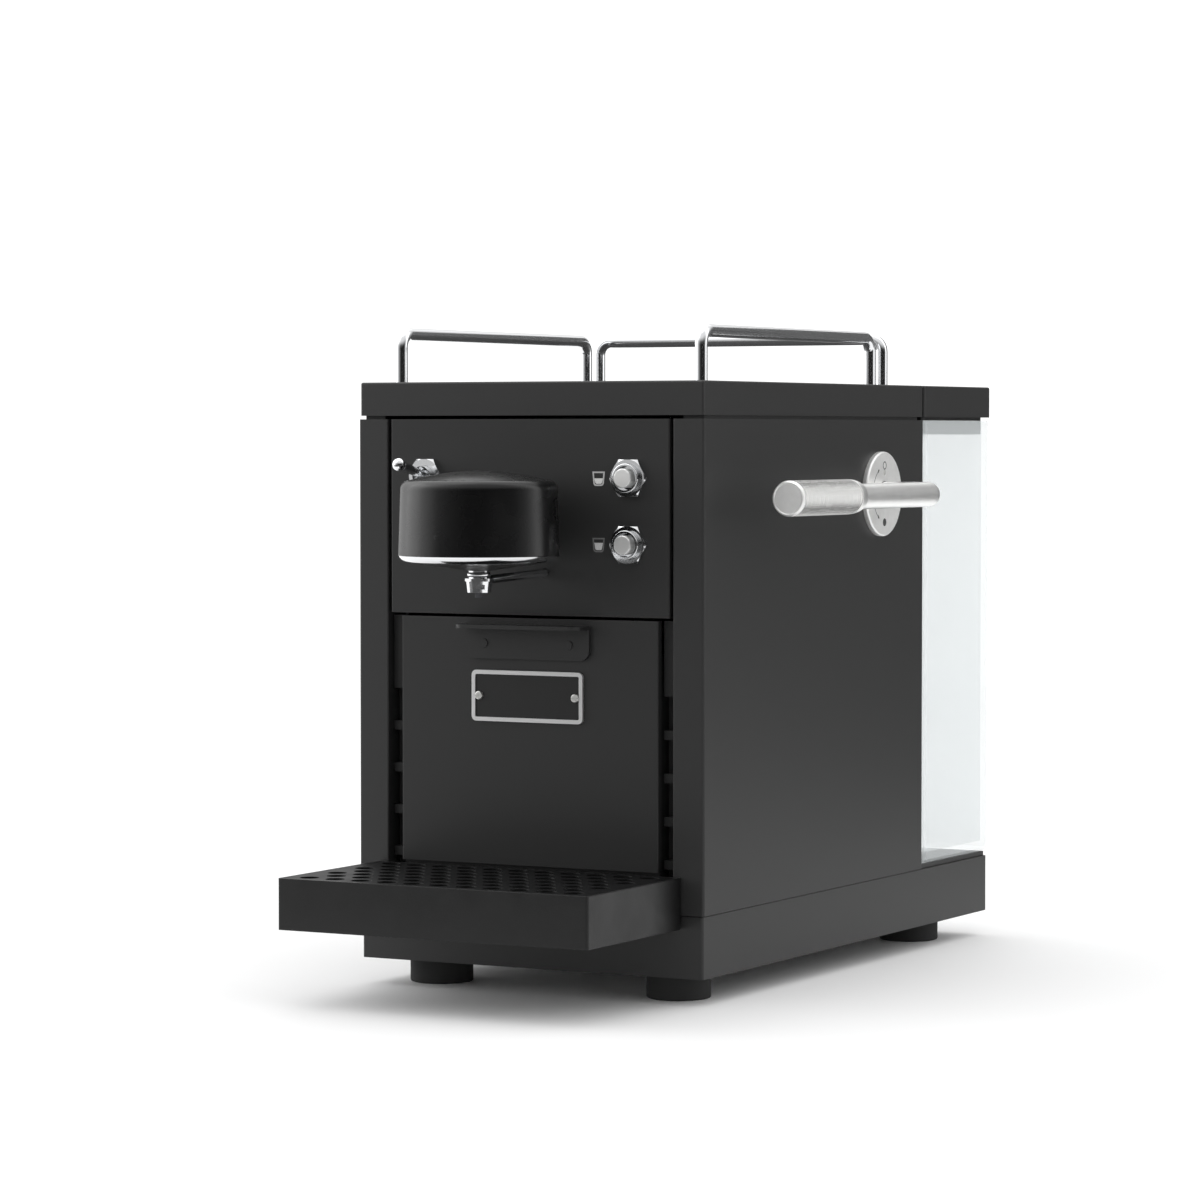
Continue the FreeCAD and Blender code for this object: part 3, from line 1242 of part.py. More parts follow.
def brew_hose():
    """Pressure hose from the heater block up through the brew shelf."""
    z0 = Z_DECK_TOP + HEATER_ABOVE_DECK + HEATER_HEIGHT
    z1 = SHELF_TOP + 12
    points = [V(BREW_HOSE_X, HEATER_Y, z0), V(BREW_HOSE_X, HEATER_Y, z1), V(BREW_HOSE_X, SHAFT_Y - 20, z1)]
    return bent_rod(points, 5.0, BREW_HOSE_RADIUS)


def control_board():
    """Circuit board standing on the shelf beside the brew unit."""
    x0 = -CHASSIS_X - SHEET + BOARD_FROM_EDGE
    x1 = x0 + SHEET
    y0 = FRONT + BOARD_FROM_FRONT
    board = box(x0, x1, y0, y0 + BOARD_LENGTH, SHELF_TOP, SHELF_TOP + BOARD_HEIGHT)
    z = SHELF_TOP + 10
    chip = box(x1, x1 + CHIP_THICKNESS, y0 + 20, y0 + 20 + CHIP_SIZE, z, z + CHIP_SIZE)
    relay = box(x1, x1 + RELAY_THICKNESS, y0 + 55, y0 + 55 + RELAY_LENGTH, z, z + RELAY_HEIGHT)
    return joined([board, chip, relay])


def inlet_place():
    """Centre of the cable gland on the plinth's rear face."""
    return -SIDE + INLET_FROM_SIDE, REAR - SHEET, (Z_PLINTH + Z_DECK) / 2


def power_inlet():
    """Cable gland in the plinth's rear wall."""
    x, y, z = inlet_place()
    inner = INLET_RADIUS - INLET_WALL
    flange = ring(x, y, z, Y_AXIS, INLET_RADIUS + 2, inner, 1.2)
    barrel = ring(x, y - INLET_LENGTH, z, Y_AXIS, INLET_RADIUS - RUNNING, inner, INLET_LENGTH)
    return joined([flange, barrel])


# Water tank

def water_tank():
    """Clear tank with rounded corners and a valve hole in its floor."""
    half = SIDE - FREE
    y0 = TANK_FRONT
    y1 = REAR
    outer = rounded(both(half, y0, y1, TANK_BOTTOM, TANK_TOP), Z_AXIS, TANK_CORNER)
    low = [edge for edge in outer.Edges if edge.BoundBox.ZMax < TANK_BOTTOM + 0.01]
    outer = outer.makeChamfer(1.5, low)
    inner = both(half - TANK_WALL, y0 + TANK_WALL, y1 - TANK_WALL, TANK_BOTTOM + TANK_FLOOR, TANK_TOP)
    inner = rounded(inner, Z_AXIS, TANK_CORNER - 1.5)
    tank = outer.cut(inner)
    return tank.cut(rod(0, tank_middle(), TANK_BOTTOM - 1, Z_AXIS, VALVE_RADIUS - 2, TANK_FLOOR + 2))


def tank_valve():
    """Spring valve housing in the tank's floor."""
    y = tank_middle()
    z1 = TANK_BOTTOM + TANK_FLOOR
    body = rod(0, y, TANK_BOTTOM, Z_AXIS, VALVE_RADIUS - 2 - RUNNING, TANK_FLOOR)
    flange = rod(0, y, z1, Z_AXIS, VALVE_RADIUS, 3.0)
    return joined([body, flange]).cut(rod(0, y, TANK_BOTTOM, Z_AXIS, 2.5, 20))


def tank_seat():
    """Rubber seat in the deck that the tank's valve meets."""
    y = tank_middle()
    return ring(0, y, Z_DECK - 2, Z_AXIS, VALVE_RADIUS + 2 - RUNNING, 3.2, DECK_THICKNESS + 2)


def tank_lid():
    """Lid of the tank, level with the top cover, with a plug that locates it."""
    half = SIDE - LID_INSET
    y0 = CASE_REAR + LID_INSET + PANEL_GAP
    outer = rounded(both(half, y0, REAR, Z_LID, Z_TOP), Z_AXIS, BEND_RADIUS)
    top_edges = [edge for edge in outer.Edges if edge.BoundBox.ZMin > Z_TOP - 0.01]
    outer = outer.makeFillet(0.8, top_edges)
    hollow = both(half - SHEET, y0 + SHEET, REAR - SHEET, Z_LID - 1, Z_TOP - DECK_THICKNESS)
    gap = TANK_WALL + 2 * FREE
    plug_z = TANK_TOP - TANK_LID_PLUG
    rim_half = SIDE - FREE - gap
    plug = both(rim_half, TANK_FRONT + gap, REAR - gap, plug_z, Z_TOP - DECK_THICKNESS)
    core = both(rim_half - SHEET, TANK_FRONT + gap + SHEET, REAR - gap - SHEET,
                plug_z - 1, Z_TOP - DECK_THICKNESS)
    return joined([outer.cut(hollow), plug.cut(core)])


MODEL = {
    "base_pan": base_pan,
    "feet": feet,
    "feet_screws": feet_screws,
    "chassis_deck": chassis_deck,
    "side_panel_left": lambda: side_panel(-1),
    "side_panel_right": lambda: side_panel(1),
    "rear_wall": rear_wall,
    "front_panel": front_panel,
    "chassis_walls": lambda: pair(chassis_wall),
    "brew_shelf": brew_shelf,
    "top_cover": top_cover,
    "capsule_chute": capsule_chute,
    "rail_left": lambda: rail(side_rail_feet(-1)),
    "rail_right": lambda: rail(side_rail_feet(1)),
    "rail_rear": lambda: rail(rear_rail_feet()),
    "rail_nuts": rail_nuts,
    "rack_strips": lambda: pair(rack_strip),
    "tray_pan": tray_pan,
    "tray_grid": tray_grid,
    "drawer_shelf": drawer_shelf,
    "drawer_front": drawer_front,
    "capsule_bin": capsule_bin,
    "drawer_pull": drawer_pull,
    "nameplate_frame": nameplate_frame,
    "nameplate_face": nameplate_face,
    "nameplate_screws": lambda: Part.makeCompound(nameplate_screws()),
    "head_can": head_can,
    "head_ring": head_ring,
    "head_cone": head_cone,
    "head_neck": head_neck,
    "outlet_tube": outlet_tube,
    "spout_nozzle": spout_nozzle,
    "spout_tip": spout_tip,
    "button_cap_upper": lambda: button_cap(BUTTON_HEIGHTS[0]),
    "button_cap_lower": lambda: button_cap(BUTTON_HEIGHTS[1]),
    "toggle_bat": toggle_bat,
    "control_bushings": control_bushings,
    "panel_nuts": panel_nuts,
    "switch_bodies": switch_bodies,
    "lever_disc": lever_disc,
    "lever_arm": lever_arm,
    "lever_grip": lever_grip,
    "cross_shaft": cross_shaft,
    "shaft_bushes": shaft_bushes,
    "cranks": cranks,
    "links": links,
    "carriage": carriage,
    "capsule_holder": capsule_holder,
    "brew_cage": lambda: pair(brew_cage),
    "slot_shutter": slot_shutter,
    "pump": pump,
    "pump_mounts": pump_mounts,
    "heater_block": heater_block,
    "hoses": hoses,
    "control_board": control_board,
    "power_inlet": power_inlet,
    "water_tank": water_tank,
    "tank_valve": tank_valve,
    "tank_seat": tank_seat,
    "tank_lid": tank_lid,
}


def main():
    """Write every piece to its own STEP file."""
    os.makedirs("parts", exist_ok=True)
    for name, make in MODEL.items():
        make().exportStep("parts/" + name + ".step")


main()
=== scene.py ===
import logging
import math
from collections.abc import Callable
from dataclasses import dataclass, field
from enum import Enum

import bmesh
import bpy
from mathutils import Matrix, Vector


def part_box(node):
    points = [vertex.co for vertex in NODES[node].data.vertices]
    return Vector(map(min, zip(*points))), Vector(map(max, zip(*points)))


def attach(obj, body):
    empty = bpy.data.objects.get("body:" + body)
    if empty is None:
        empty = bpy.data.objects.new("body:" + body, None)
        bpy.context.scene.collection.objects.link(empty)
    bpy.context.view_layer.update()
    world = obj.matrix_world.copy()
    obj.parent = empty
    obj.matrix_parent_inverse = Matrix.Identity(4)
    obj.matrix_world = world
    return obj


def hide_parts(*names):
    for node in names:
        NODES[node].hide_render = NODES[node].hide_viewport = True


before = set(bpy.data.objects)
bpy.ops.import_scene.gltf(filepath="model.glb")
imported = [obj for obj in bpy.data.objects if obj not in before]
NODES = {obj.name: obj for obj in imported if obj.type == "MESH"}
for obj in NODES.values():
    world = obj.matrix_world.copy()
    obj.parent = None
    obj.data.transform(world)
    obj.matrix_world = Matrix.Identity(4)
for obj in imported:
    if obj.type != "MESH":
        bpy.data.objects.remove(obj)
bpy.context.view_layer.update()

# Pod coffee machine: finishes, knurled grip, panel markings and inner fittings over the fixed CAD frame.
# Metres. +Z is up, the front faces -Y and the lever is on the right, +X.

logging.basicConfig(level=logging.INFO, format="%(levelname)s %(name)s: %(message)s")
log = logging.getLogger("coffee_machine")

Point = tuple[float, float, float]
Colour = tuple[float, float, float]


class Axis(Enum):
    """A direction of the machine that a pattern or a turned piece follows."""

    X = (1.0, 0.0, 0.0)
    Y = (0.0, 1.0, 0.0)

    @property
    def vector(self) -> Vector:
        """The axis as a vector."""
        return Vector(self.value)


class Body(Enum):
    """A CAD body that pieces ride on."""

    ROOT = "root"
    LEVER = "lever"


class Recipe:
    """Builds the shader nodes of one material."""

    def __init__(self, name: str) -> None:
        """Makes an empty material with a principled shader.

        Args:
            name: name of the material.
        """
        self.material = bpy.data.materials.new(name)
        self.material.use_nodes = True
        self.tree = self.material.node_tree
        self.shader = self.tree.nodes["Principled BSDF"]
        self.place = self.add("ShaderNodeTexCoord").outputs["Object"]

    def add(self, kind: str, **settings: object) -> bpy.types.Node:
        """Adds a node.

        Args:
            kind: Blender's name for the node.
            settings: properties to set on it.

        Returns:
            The new node.
        """
        node = self.tree.nodes.new(kind)
        for key, value in settings.items():
            setattr(node, key, value)
        return node

    def join(self, source: bpy.types.NodeSocket, target: bpy.types.NodeSocket) -> None:
        """Links an output to an input."""
        self.tree.links.new(source, target)

    def set(self, **values: object) -> None:
        """Sets constants on the shader; an underscore stands for a space."""
        for key, value in values.items():
            self.shader.inputs[key.replace("_", " ")].default_value = value

    def mapped(
        self, stretch: Point = (1.0, 1.0, 1.0), centre: Point = (0.0, 0.0, 0.0)
    ) -> bpy.types.NodeSocket:
        """Object coordinates, moved so that a point is the origin, then stretched.

        Args:
            stretch: factor along each axis.
            centre: the point that becomes the origin.

        Returns:
            The vector output.
        """
        node = self.add("ShaderNodeMapping", vector_type="TEXTURE")
        node.inputs["Location"].default_value = centre
        node.inputs["Scale"].default_value = tuple(1.0 / s for s in stretch)
        self.join(self.place, node.inputs["Vector"])
        return node.outputs["Vector"]

    def noise(
        self, size: float, detail: float = 2.0, stretch: Point = (1.0, 1.0, 1.0), roughness: float = 0.5
    ) -> bpy.types.NodeSocket:
        """Soft random pattern.

        Args:
            size: size of one blotch, in metres.
            detail: layers of finer pattern.
            stretch: factor along each axis.
            roughness: strength of the finer layers.

        Returns:
            The value output, about 0.3 to 0.7.
        """
        node = self.add("ShaderNodeTexNoise")
        node.inputs["Scale"].default_value = 1.0 / size
        node.inputs["Detail"].default_value = detail
        node.inputs["Roughness"].default_value = roughness
        self.join(self.mapped(stretch), node.inputs["Vector"])
        return node.outputs["Fac"]

    def rings(self, centre: Point, flat: Axis, pitch: float) -> bpy.types.NodeSocket:
        """Fine random rings round an axis, as a cutting tool leaves them.

        Args:
            centre: a point on the axis.
            flat: direction of the axis.
            pitch: mean spacing of the rings in metres.

        Returns:
            The value output, about 0.3 to 0.7.
        """
        keep = tuple(1.0 - v for v in flat.value)
        spread = self.add("ShaderNodeVectorMath", operation="MULTIPLY")
        spread.inputs[1].default_value = keep
        self.join(self.mapped(centre=centre), spread.inputs[0])
        length = self.add("ShaderNodeVectorMath", operation="LENGTH")
        self.join(spread.outputs["Vector"], length.inputs[0])
        node = self.add("ShaderNodeTexNoise", noise_dimensions="1D")
        node.inputs["Scale"].default_value = 1.0 / pitch
        node.inputs["Detail"].default_value = 3.0
        self.join(length.outputs["Value"], node.inputs["W"])
        return node.outputs["Fac"]

    def spread(self, source: bpy.types.NodeSocket, low: float, high: float) -> bpy.types.NodeSocket:
        """Maps 0.3..0.7 to a range.

        Args:
            source: the value to map.
            low: value at 0.3.
            high: value at 0.7.

        Returns:
            The mapped value.
        """
        node = self.add("ShaderNodeMapRange")
        node.inputs["From Min"].default_value = 0.3
        node.inputs["From Max"].default_value = 0.7
        node.inputs["To Min"].default_value = low
        node.inputs["To Max"].default_value = high
        self.join(source, node.inputs["Value"])
        return node.outputs["Result"]

    def shades(self, source: bpy.types.NodeSocket, dark: Colour, light: Colour) -> None:
        """Colours the shader between two shades.

        Args:
            source: the value that picks the shade.
            dark: colour at 0.3.
            light: colour at 0.7.
        """
        ramp = self.add("ShaderNodeValToRGB")
        ramp.color_ramp.elements[0].position = 0.3
        ramp.color_ramp.elements[0].color = (*dark, 1.0)
        ramp.color_ramp.elements[1].position = 0.7
        ramp.color_ramp.elements[1].color = (*light, 1.0)
        self.join(source, ramp.inputs["Fac"])
        self.join(ramp.outputs["Color"], self.shader.inputs["Base Color"])

    def rough(self, source: bpy.types.NodeSocket, low: float, high: float) -> None:
        """Varies the roughness between two values."""
        self.join(self.spread(source, low, high), self.shader.inputs["Roughness"])

    def relief(self, source: bpy.types.NodeSocket, height: float, edge: float = 0.0) -> None:
        """Raises the surface by a pattern and softens its sharp edges.

        Args:
            source: the pattern.
            height: height of the pattern in metres.
            edge: radius that sharp edges are shaded with, in metres.
        """
        bump = self.add("ShaderNodeBump")
        bump.inputs["Distance"].default_value = height
        bump.inputs["Strength"].default_value = 1.0
        self.join(source, bump.inputs["Height"])
        if edge:
            soft = self.add("ShaderNodeBevel", samples=4)
            soft.inputs["Radius"].default_value = edge
            self.join(soft.outputs["Normal"], bump.inputs["Normal"])
        self.join(bump.outputs["Normal"], self.shader.inputs["Normal"])


@dataclass(frozen=True)
class Finish:
    """A surface finish that a piece can be given."""

    name: str

    def mix(self, recipe: Recipe) -> None:
        """Adds this finish's nodes; each kind of finish has its own."""
        raise NotImplementedError

    def material(self) -> bpy.types.Material:
        """The finish as a material, made once.

        Returns:
            The material.
        """
        found = bpy.data.materials.get(self.name)
        if found is None:
            recipe = Recipe(self.name)
            self.mix(recipe)
            found = recipe.material
        return found


@dataclass(frozen=True)
class PowderCoat(Finish):
    """Baked powder paint with a fine peel and softened folds."""

    colour: Colour = (0.0026, 0.0026, 0.0027)
    gloss: tuple[float, float] = (0.25, 0.31)
    peel: float = 0.0011
    depth: float = 0.000012
    edge: float = 0.0006
    ior: float = 1.42

    def mix(self, recipe: Recipe) -> None:
        """Cloudy black colour, uneven gloss, orange peel and bright edges."""
        cloud = recipe.noise(0.035, 3.0)
        recipe.shades(cloud, tuple(c * 0.8 for c in self.colour), tuple(c * 1.25 for c in self.colour))
        recipe.rough(recipe.noise(0.012, 4.0), *self.gloss)
        recipe.relief(recipe.noise(self.peel, 2.5), self.depth, self.edge)
        recipe.set(IOR=self.ior)


@dataclass(frozen=True)
class Chrome(Finish):
    """Mirror plate with faint hairlines."""

    colour: Colour = (0.80, 0.81, 0.82)
    gloss: tuple[float, float] = (0.03, 0.09)
    edge: float = 0.0003

    def mix(self, recipe: Recipe) -> None:
        """Bright metal, slightly hazed in patches."""
        haze = recipe.noise(0.006, 4.0)
        recipe.shades(haze, tuple(c * 0.96 for c in self.colour), self.colour)
        recipe.rough(haze, *self.gloss)
        recipe.relief(recipe.noise(0.0016, 2.0), 0.0000015, self.edge)
        recipe.set(Metallic=1.0)


@dataclass(frozen=True)
class TurnedMetal(Finish):
    """Metal turned on a lathe: fine rings round the axis of the piece."""

    colour: Colour = (0.74, 0.74, 0.73)
    gloss: tuple[float, float] = (0.26, 0.36)
    centre: Point = (0.0, 0.0, 0.0)
    axis: Axis = Axis.X
    pitch: float = 0.00035
    depth: float = 0.000006
    edge: float = 0.0003

    def mix(self, recipe: Recipe) -> None:
        """Satin metal with rings in its relief and gloss."""
        rings = recipe.rings(self.centre, self.axis, self.pitch)
        recipe.shades(recipe.noise(0.004, 3.0), tuple(c * 0.93 for c in self.colour), self.colour)
        recipe.rough(rings, *self.gloss)
        recipe.relief(rings, self.depth, self.edge)
        recipe.set(Metallic=1.0)


@dataclass(frozen=True)
class BrushedMetal(Finish):
    """Metal with straight brush lines along one axis."""

    colour: Colour = (0.72, 0.72, 0.71)
    gloss: tuple[float, float] = (0.22, 0.34)
    along: Axis = Axis.Y
    width: float = 0.00025
    depth: float = 0.000004
    edge: float = 0.0003

    def mix(self, recipe: Recipe) -> None:
        """Satin metal with lines in its relief and gloss."""
        stretch = tuple(0.02 if v else 1.0 for v in self.along.value)
        lines = recipe.noise(self.width, 3.0, stretch)
        recipe.shades(recipe.noise(0.01, 3.0), tuple(c * 0.94 for c in self.colour), self.colour)
        recipe.rough(lines, *self.gloss)
        recipe.relief(lines, self.depth, self.edge)
        recipe.set(Metallic=1.0)


@dataclass(frozen=True)
class PlatedSteel(Finish):
    """Zinc-plated or plain rolled steel with a clouded surface."""

    colour: Colour = (0.50, 0.51, 0.52)
    gloss: tuple[float, float] = (0.28, 0.48)
    cloud: float = 0.006

    def mix(self, recipe: Recipe) -> None:
        """Dull metal with a patchy bloom and rolling marks."""
        bloom = recipe.noise(self.cloud, 5.0, roughness=0.65)
        recipe.shades(bloom, tuple(c * 0.78 for c in self.colour), self.colour)
        recipe.rough(bloom, *self.gloss)
        recipe.relief(recipe.noise(0.0008, 2.0, (1.0, 0.08, 1.0)), 0.000006, 0.0003)
        recipe.set(Metallic=1.0)


@dataclass(frozen=True)
class CastMetal(Finish):
    """Sand-cast metal with a pitted skin."""

    colour: Colour = (0.42, 0.42, 0.41)

    def mix(self, recipe: Recipe) -> None:
        """Rough metal with a grainy relief."""
        grain = recipe.noise(0.0009, 4.0, roughness=0.7)
        recipe.shades(recipe.noise(0.008, 4.0), tuple(c * 0.7 for c in self.colour), self.colour)
        recipe.rough(grain, 0.45, 0.65)
        recipe.relief(grain, 0.00009, 0.0006)
        recipe.set(Metallic=1.0)


@dataclass(frozen=True)
class Moulded(Finish):
    """Moulded plastic or rubber with a fine spark-eroded grain."""

    colour: Colour = (0.012, 0.012, 0.013)
    gloss: tuple[float, float] = (0.42, 0.56)
    grain: float = 0.0004
    depth: float = 0.00002
    soft: float = 0.0

    def mix(self, recipe: Recipe) -> None:
        """Even colour with a slight bloom and a grained relief."""
        bloom = recipe.noise(0.015, 4.0)
        dark = tuple(c * 0.82 for c in self.colour)
        light = tuple(min(c * 1.15, 1.0) for c in self.colour)
        recipe.shades(bloom, dark, light)
        recipe.rough(bloom, *self.gloss)
        recipe.relief(recipe.noise(self.grain, 2.0), self.depth, 0.0005)
        recipe.set(IOR=1.47, Sheen_Weight=self.soft)


@dataclass(frozen=True)
class ClearPlastic(Finish):
    """Clear moulded plastic with faint flow lines."""

    colour: Colour = (1.0, 1.0, 1.0)
    haze: float = 16.0

    def mix(self, recipe: Recipe) -> None:
        """Clear body with a barely hazed skin."""
        flow = recipe.noise(0.03, 2.0, (1.0, 1.0, 0.3))
        recipe.shades(flow, tuple(c * 0.985 for c in self.colour), self.colour)
        recipe.rough(flow, 0.015, 0.05)
        recipe.relief(flow, 0.00002)
        recipe.set(IOR=1.49, Transmission_Weight=1.0)
        depth = recipe.add("ShaderNodeVolumeAbsorption")
        depth.inputs["Color"].default_value = (0.12, 0.12, 0.12, 1.0)
        depth.inputs["Density"].default_value = self.haze
        output = recipe.tree.nodes["Material Output"]
        recipe.join(depth.outputs["Volume"], output.inputs["Volume"])


@dataclass(frozen=True)
class CircuitBoard(Finish):
    """Green lacquered board with the shadow of its tracks."""

    def mix(self, recipe: Recipe) -> None:
        """Lacquer over blocky tracks."""
        cells = recipe.add("ShaderNodeTexVoronoi", distance="CHEBYCHEV", feature="DISTANCE_TO_EDGE")
        cells.inputs["Scale"].default_value = 260.0
        recipe.join(recipe.mapped(), cells.inputs["Vector"])
        step = recipe.add("ShaderNodeMath", operation="MINIMUM")
        step.inputs[1].default_value = 0.7
        recipe.join(cells.outputs["Distance"], step.inputs[0])
        recipe.shades(step.outputs["Value"], (0.03, 0.16, 0.07), (0.008, 0.06, 0.028))
        recipe.rough(recipe.noise(0.01, 3.0), 0.2, 0.32)
        recipe.relief(step.outputs["Value"], 0.00003, 0.0003)


@dataclass(frozen=True)
class Print(Finish):
    """Screen-printed or filled marking with a chalky, slightly open texture."""

    colour: Colour = (0.30, 0.30, 0.30)

    def mix(self, recipe: Recipe) -> None:
        """Flat ink that thins a little in places."""
        body = recipe.noise(0.0007, 4.0, roughness=0.7)
        recipe.shades(body, tuple(c * 0.72 for c in self.colour), self.colour)
        recipe.rough(body, 0.5, 0.7)
        recipe.relief(body, 0.00001)


@dataclass(frozen=True)
class Bench(Finish):
    """Matt white surface that the machine stands on."""

    colour: Colour = (0.93, 0.93, 0.93)

    def mix(self, recipe: Recipe) -> None:
        """White with a barely visible tone."""
        tone = recipe.noise(0.4, 2.0)
        recipe.shades(tone, tuple(c * 0.99 for c in self.colour), self.colour)
        recipe.rough(tone, 0.75, 0.85)


CASE_PAINT = PowderCoat("case_paint")
PANEL_PAINT = PowderCoat("panel_paint", gloss=(0.24, 0.30), depth=0.000008)
TRAY_PAINT = PowderCoat(
    "tray_paint", colour=(0.0045, 0.0045, 0.0046), gloss=(0.32, 0.42), peel=0.0008, depth=0.00003
)
CAN_PAINT = PowderCoat("can_paint", gloss=(0.24, 0.30), depth=0.000018, peel=0.0009)
BLACK_STEEL = PowderCoat("black_steel", colour=(0.004, 0.004, 0.0041), gloss=(0.34, 0.46), depth=0.00002)
GRID_STEEL = PowderCoat("grid_steel", colour=(0.004, 0.004, 0.0042), gloss=(0.42, 0.5), edge=0.0005, ior=1.25)
CHROME = Chrome("chrome")
SATIN_BAR = BrushedMetal("satin_bar", colour=(0.95, 0.95, 0.94), gloss=(0.34, 0.42))
ZINC = PlatedSteel("zinc", colour=(0.60, 0.60, 0.58))
STEEL = PlatedSteel("sheet_steel", gloss=(0.25, 0.4), cloud=0.02)
CAST = CastMetal("cast_aluminium")
RUBBER = Moulded("rubber", colour=(0.014, 0.014, 0.014), gloss=(0.6, 0.8), grain=0.0007, soft=0.15)
SEAL = Moulded("seal_rubber", colour=(0.03, 0.03, 0.033), gloss=(0.45, 0.6))
HOSE = Moulded("hose_silicone", colour=(0.62, 0.60, 0.55), gloss=(0.3, 0.42), depth=0.000006)
BLACK_PLASTIC = Moulded("black_plastic")
GREY_PLASTIC = Moulded("grey_plastic", colour=(0.26, 0.27, 0.27))
CLEAR = ClearPlastic("clear_plastic")
PLATE_BLACK = PowderCoat("plate_black", colour=(0.010, 0.010, 0.010), gloss=(0.3, 0.4), depth=0.000005)
PLATE_SILVER = BrushedMetal("plate_silver", colour=(0.86, 0.86, 0.86), gloss=(0.3, 0.42), along=Axis.X)
BOARD = CircuitBoard("circuit_board")


class Workbench:
    """The hand tools that every new piece is made with."""

    @staticmethod
    def clear() -> None:
        """Leaves edit mode and deselects everything."""
        if bpy.context.object and bpy.context.object.mode != "OBJECT":
            bpy.ops.object.mode_set(mode="OBJECT")
        bpy.ops.object.select_all(action="DESELECT")

    @staticmethod
    def pick(kind: str, wanted: Callable[[Vector, Vector], bool]) -> None:
        """Selects the elements whose middle and normal pass a test, in edit mode.

        Args:
            kind: VERT or EDGE.
            wanted: test of the middle and the normal or direction.
        """
        bpy.ops.mesh.select_mode(type=kind)
        bpy.ops.mesh.select_all(action="DESELECT")
        mesh = bpy.context.object.data
        work = bmesh.from_edit_mesh(mesh)
        if kind == "VERT":
            for vert in work.verts:
                if wanted(vert.co, vert.normal):
                    vert.select_set(True)
        else:
            for edge in work.edges:
                a, b = (v.co for v in edge.verts)
                if wanted((a + b) / 2, (b - a).normalized()):
                    edge.select_set(True)
        work.select_flush_mode()
        bmesh.update_edit_mesh(mesh)

    @staticmethod
    def modify(piece: bpy.types.Object, kind: str, **settings: object) -> None:
        """Adds a modifier to a piece and applies it.

        Args:
            piece: the piece.
            kind: Blender's name for the modifier.
            settings: properties to set on it.
        """
        Workbench.clear()
        bpy.context.view_layer.objects.active = piece
        piece.select_set(True)
        modifier = piece.modifiers.new(kind.title(), kind)
        for key, value in settings.items():
            setattr(modifier, key, value)
        bpy.ops.object.modifier_apply(modifier=modifier.name)

    @staticmethod
    def lathe(
        name: str,
        profile: list[tuple[float, float]],
        centre: Point,
        axis: Axis,
        steps: int = 64,
        turn: float = 360.0,
        start: float = 0.0,
    ) -> bpy.types.Object:
        """Turns a profile round an axis.

        Args:
            name: name of the piece.
            profile: (distance along the axis, radius) of each corner, in order.
            centre: the point on the axis that distances count from.
            axis: direction of the axis.
            steps: facets in the whole turn.
            turn: degrees to turn through; spin turns backwards, so a negative turn runs to
                larger angles.
            start: degrees at which the turn begins.

        Returns:
            The piece, with its ends closed where the turn isn't whole.
        """
        along = axis.vector
        out = Matrix.Rotation(math.radians(start), 3, along) @ Vector((0.0, 0.0, 1.0))
        spots = [Vector(centre) + along * d + out * max(r, 1e-7) for d, r in profile]
        Workbench.clear()
        bpy.ops.mesh.primitive_plane_add(size=0.001, location=spots[0])
        piece = bpy.context.object
        piece.name = name
        bpy.ops.object.transform_apply(location=True, rotation=True, scale=True)
        bpy.ops.object.mode_set(mode="EDIT")
        bpy.ops.mesh.select_mode(type="VERT")
        bpy.ops.mesh.select_all(action="SELECT")
        bpy.ops.mesh.merge(type="CENTER")
        for before, after in zip(spots, spots[1:]):
            bpy.ops.mesh.extrude_region_move(TRANSFORM_OT_translate={"value": tuple(after - before)})
        bpy.ops.mesh.select_all(action="SELECT")
        bpy.ops.mesh.spin(
            steps=steps, angle=math.radians(turn), center=centre, axis=tuple(along), use_auto_merge=False
        )
        bpy.ops.mesh.select_all(action="SELECT")
        bpy.ops.mesh.remove_doubles(threshold=0.000002)
        if turn < 360.0:
            bpy.ops.mesh.fill_holes(sides=12)
        bpy.ops.mesh.select_all(action="SELECT")
        bpy.ops.mesh.normals_make_consistent(inside=False)
        bpy.ops.object.mode_set(mode="OBJECT")
        return piece

    @staticmethod
    def finish(piece: bpy.types.Object, body: Body, finish: Finish, slot: str, smooth: float = 35.0) -> None:
        """Settles a piece at the origin, dresses it and lets it ride on its body.

        Args:
            piece: the piece.
            body: the body that it moves with.
            finish: its finish.
            slot: not used.
            smooth: edges under this angle, in degrees, are shaded smooth.
        """
        Workbench.clear()
        bpy.context.view_layer.objects.active = piece
        piece.select_set(True)
        bpy.ops.object.transform_apply(location=True, rotation=True, scale=True)
        bpy.ops.object.shade_smooth_by_angle(angle=math.radians(smooth))
        piece.data.materials.clear()
        piece.data.materials.append(finish.material())
        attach(piece, body.value)
        log.info("%s: %d faces on %s", piece.name, len(piece.data.polygons), body.value)


def dress(finish: Finish, *names: str) -> None:
    """Gives CAD pieces a finish.

    Args:
        finish: the finish.
        names: the CAD nodes.
    """
    for name in names:
        node = NODES[name]
        node.data.materials.clear()
        node.data.materials.append(finish.material())
        log.info("%s: dressed in %s", name, finish.name)


@dataclass
class Casework:
    """Base, side panels, front panel, cover, rails and the inner chassis."""

    def build(self) -> None:
        """Dresses the sheet metal and the chrome rails."""
        dress(CASE_PAINT, "base_pan", "side_panel_left", "side_panel_right", "top_cover")
        dress(PANEL_PAINT, "front_panel")
        dress(BLACK_STEEL, "chassis_deck", "rear_wall", "rack_strips", "drawer_shelf")
        dress(STEEL, "chassis_walls", "brew_shelf")
        dress(CHROME, "rail_left", "rail_right", "rail_rear")
        dress(ZINC, "rail_nuts", "feet_screws")
        dress(RUBBER, "feet")
        dress(BLACK_PLASTIC, "capsule_chute", "slot_shutter")


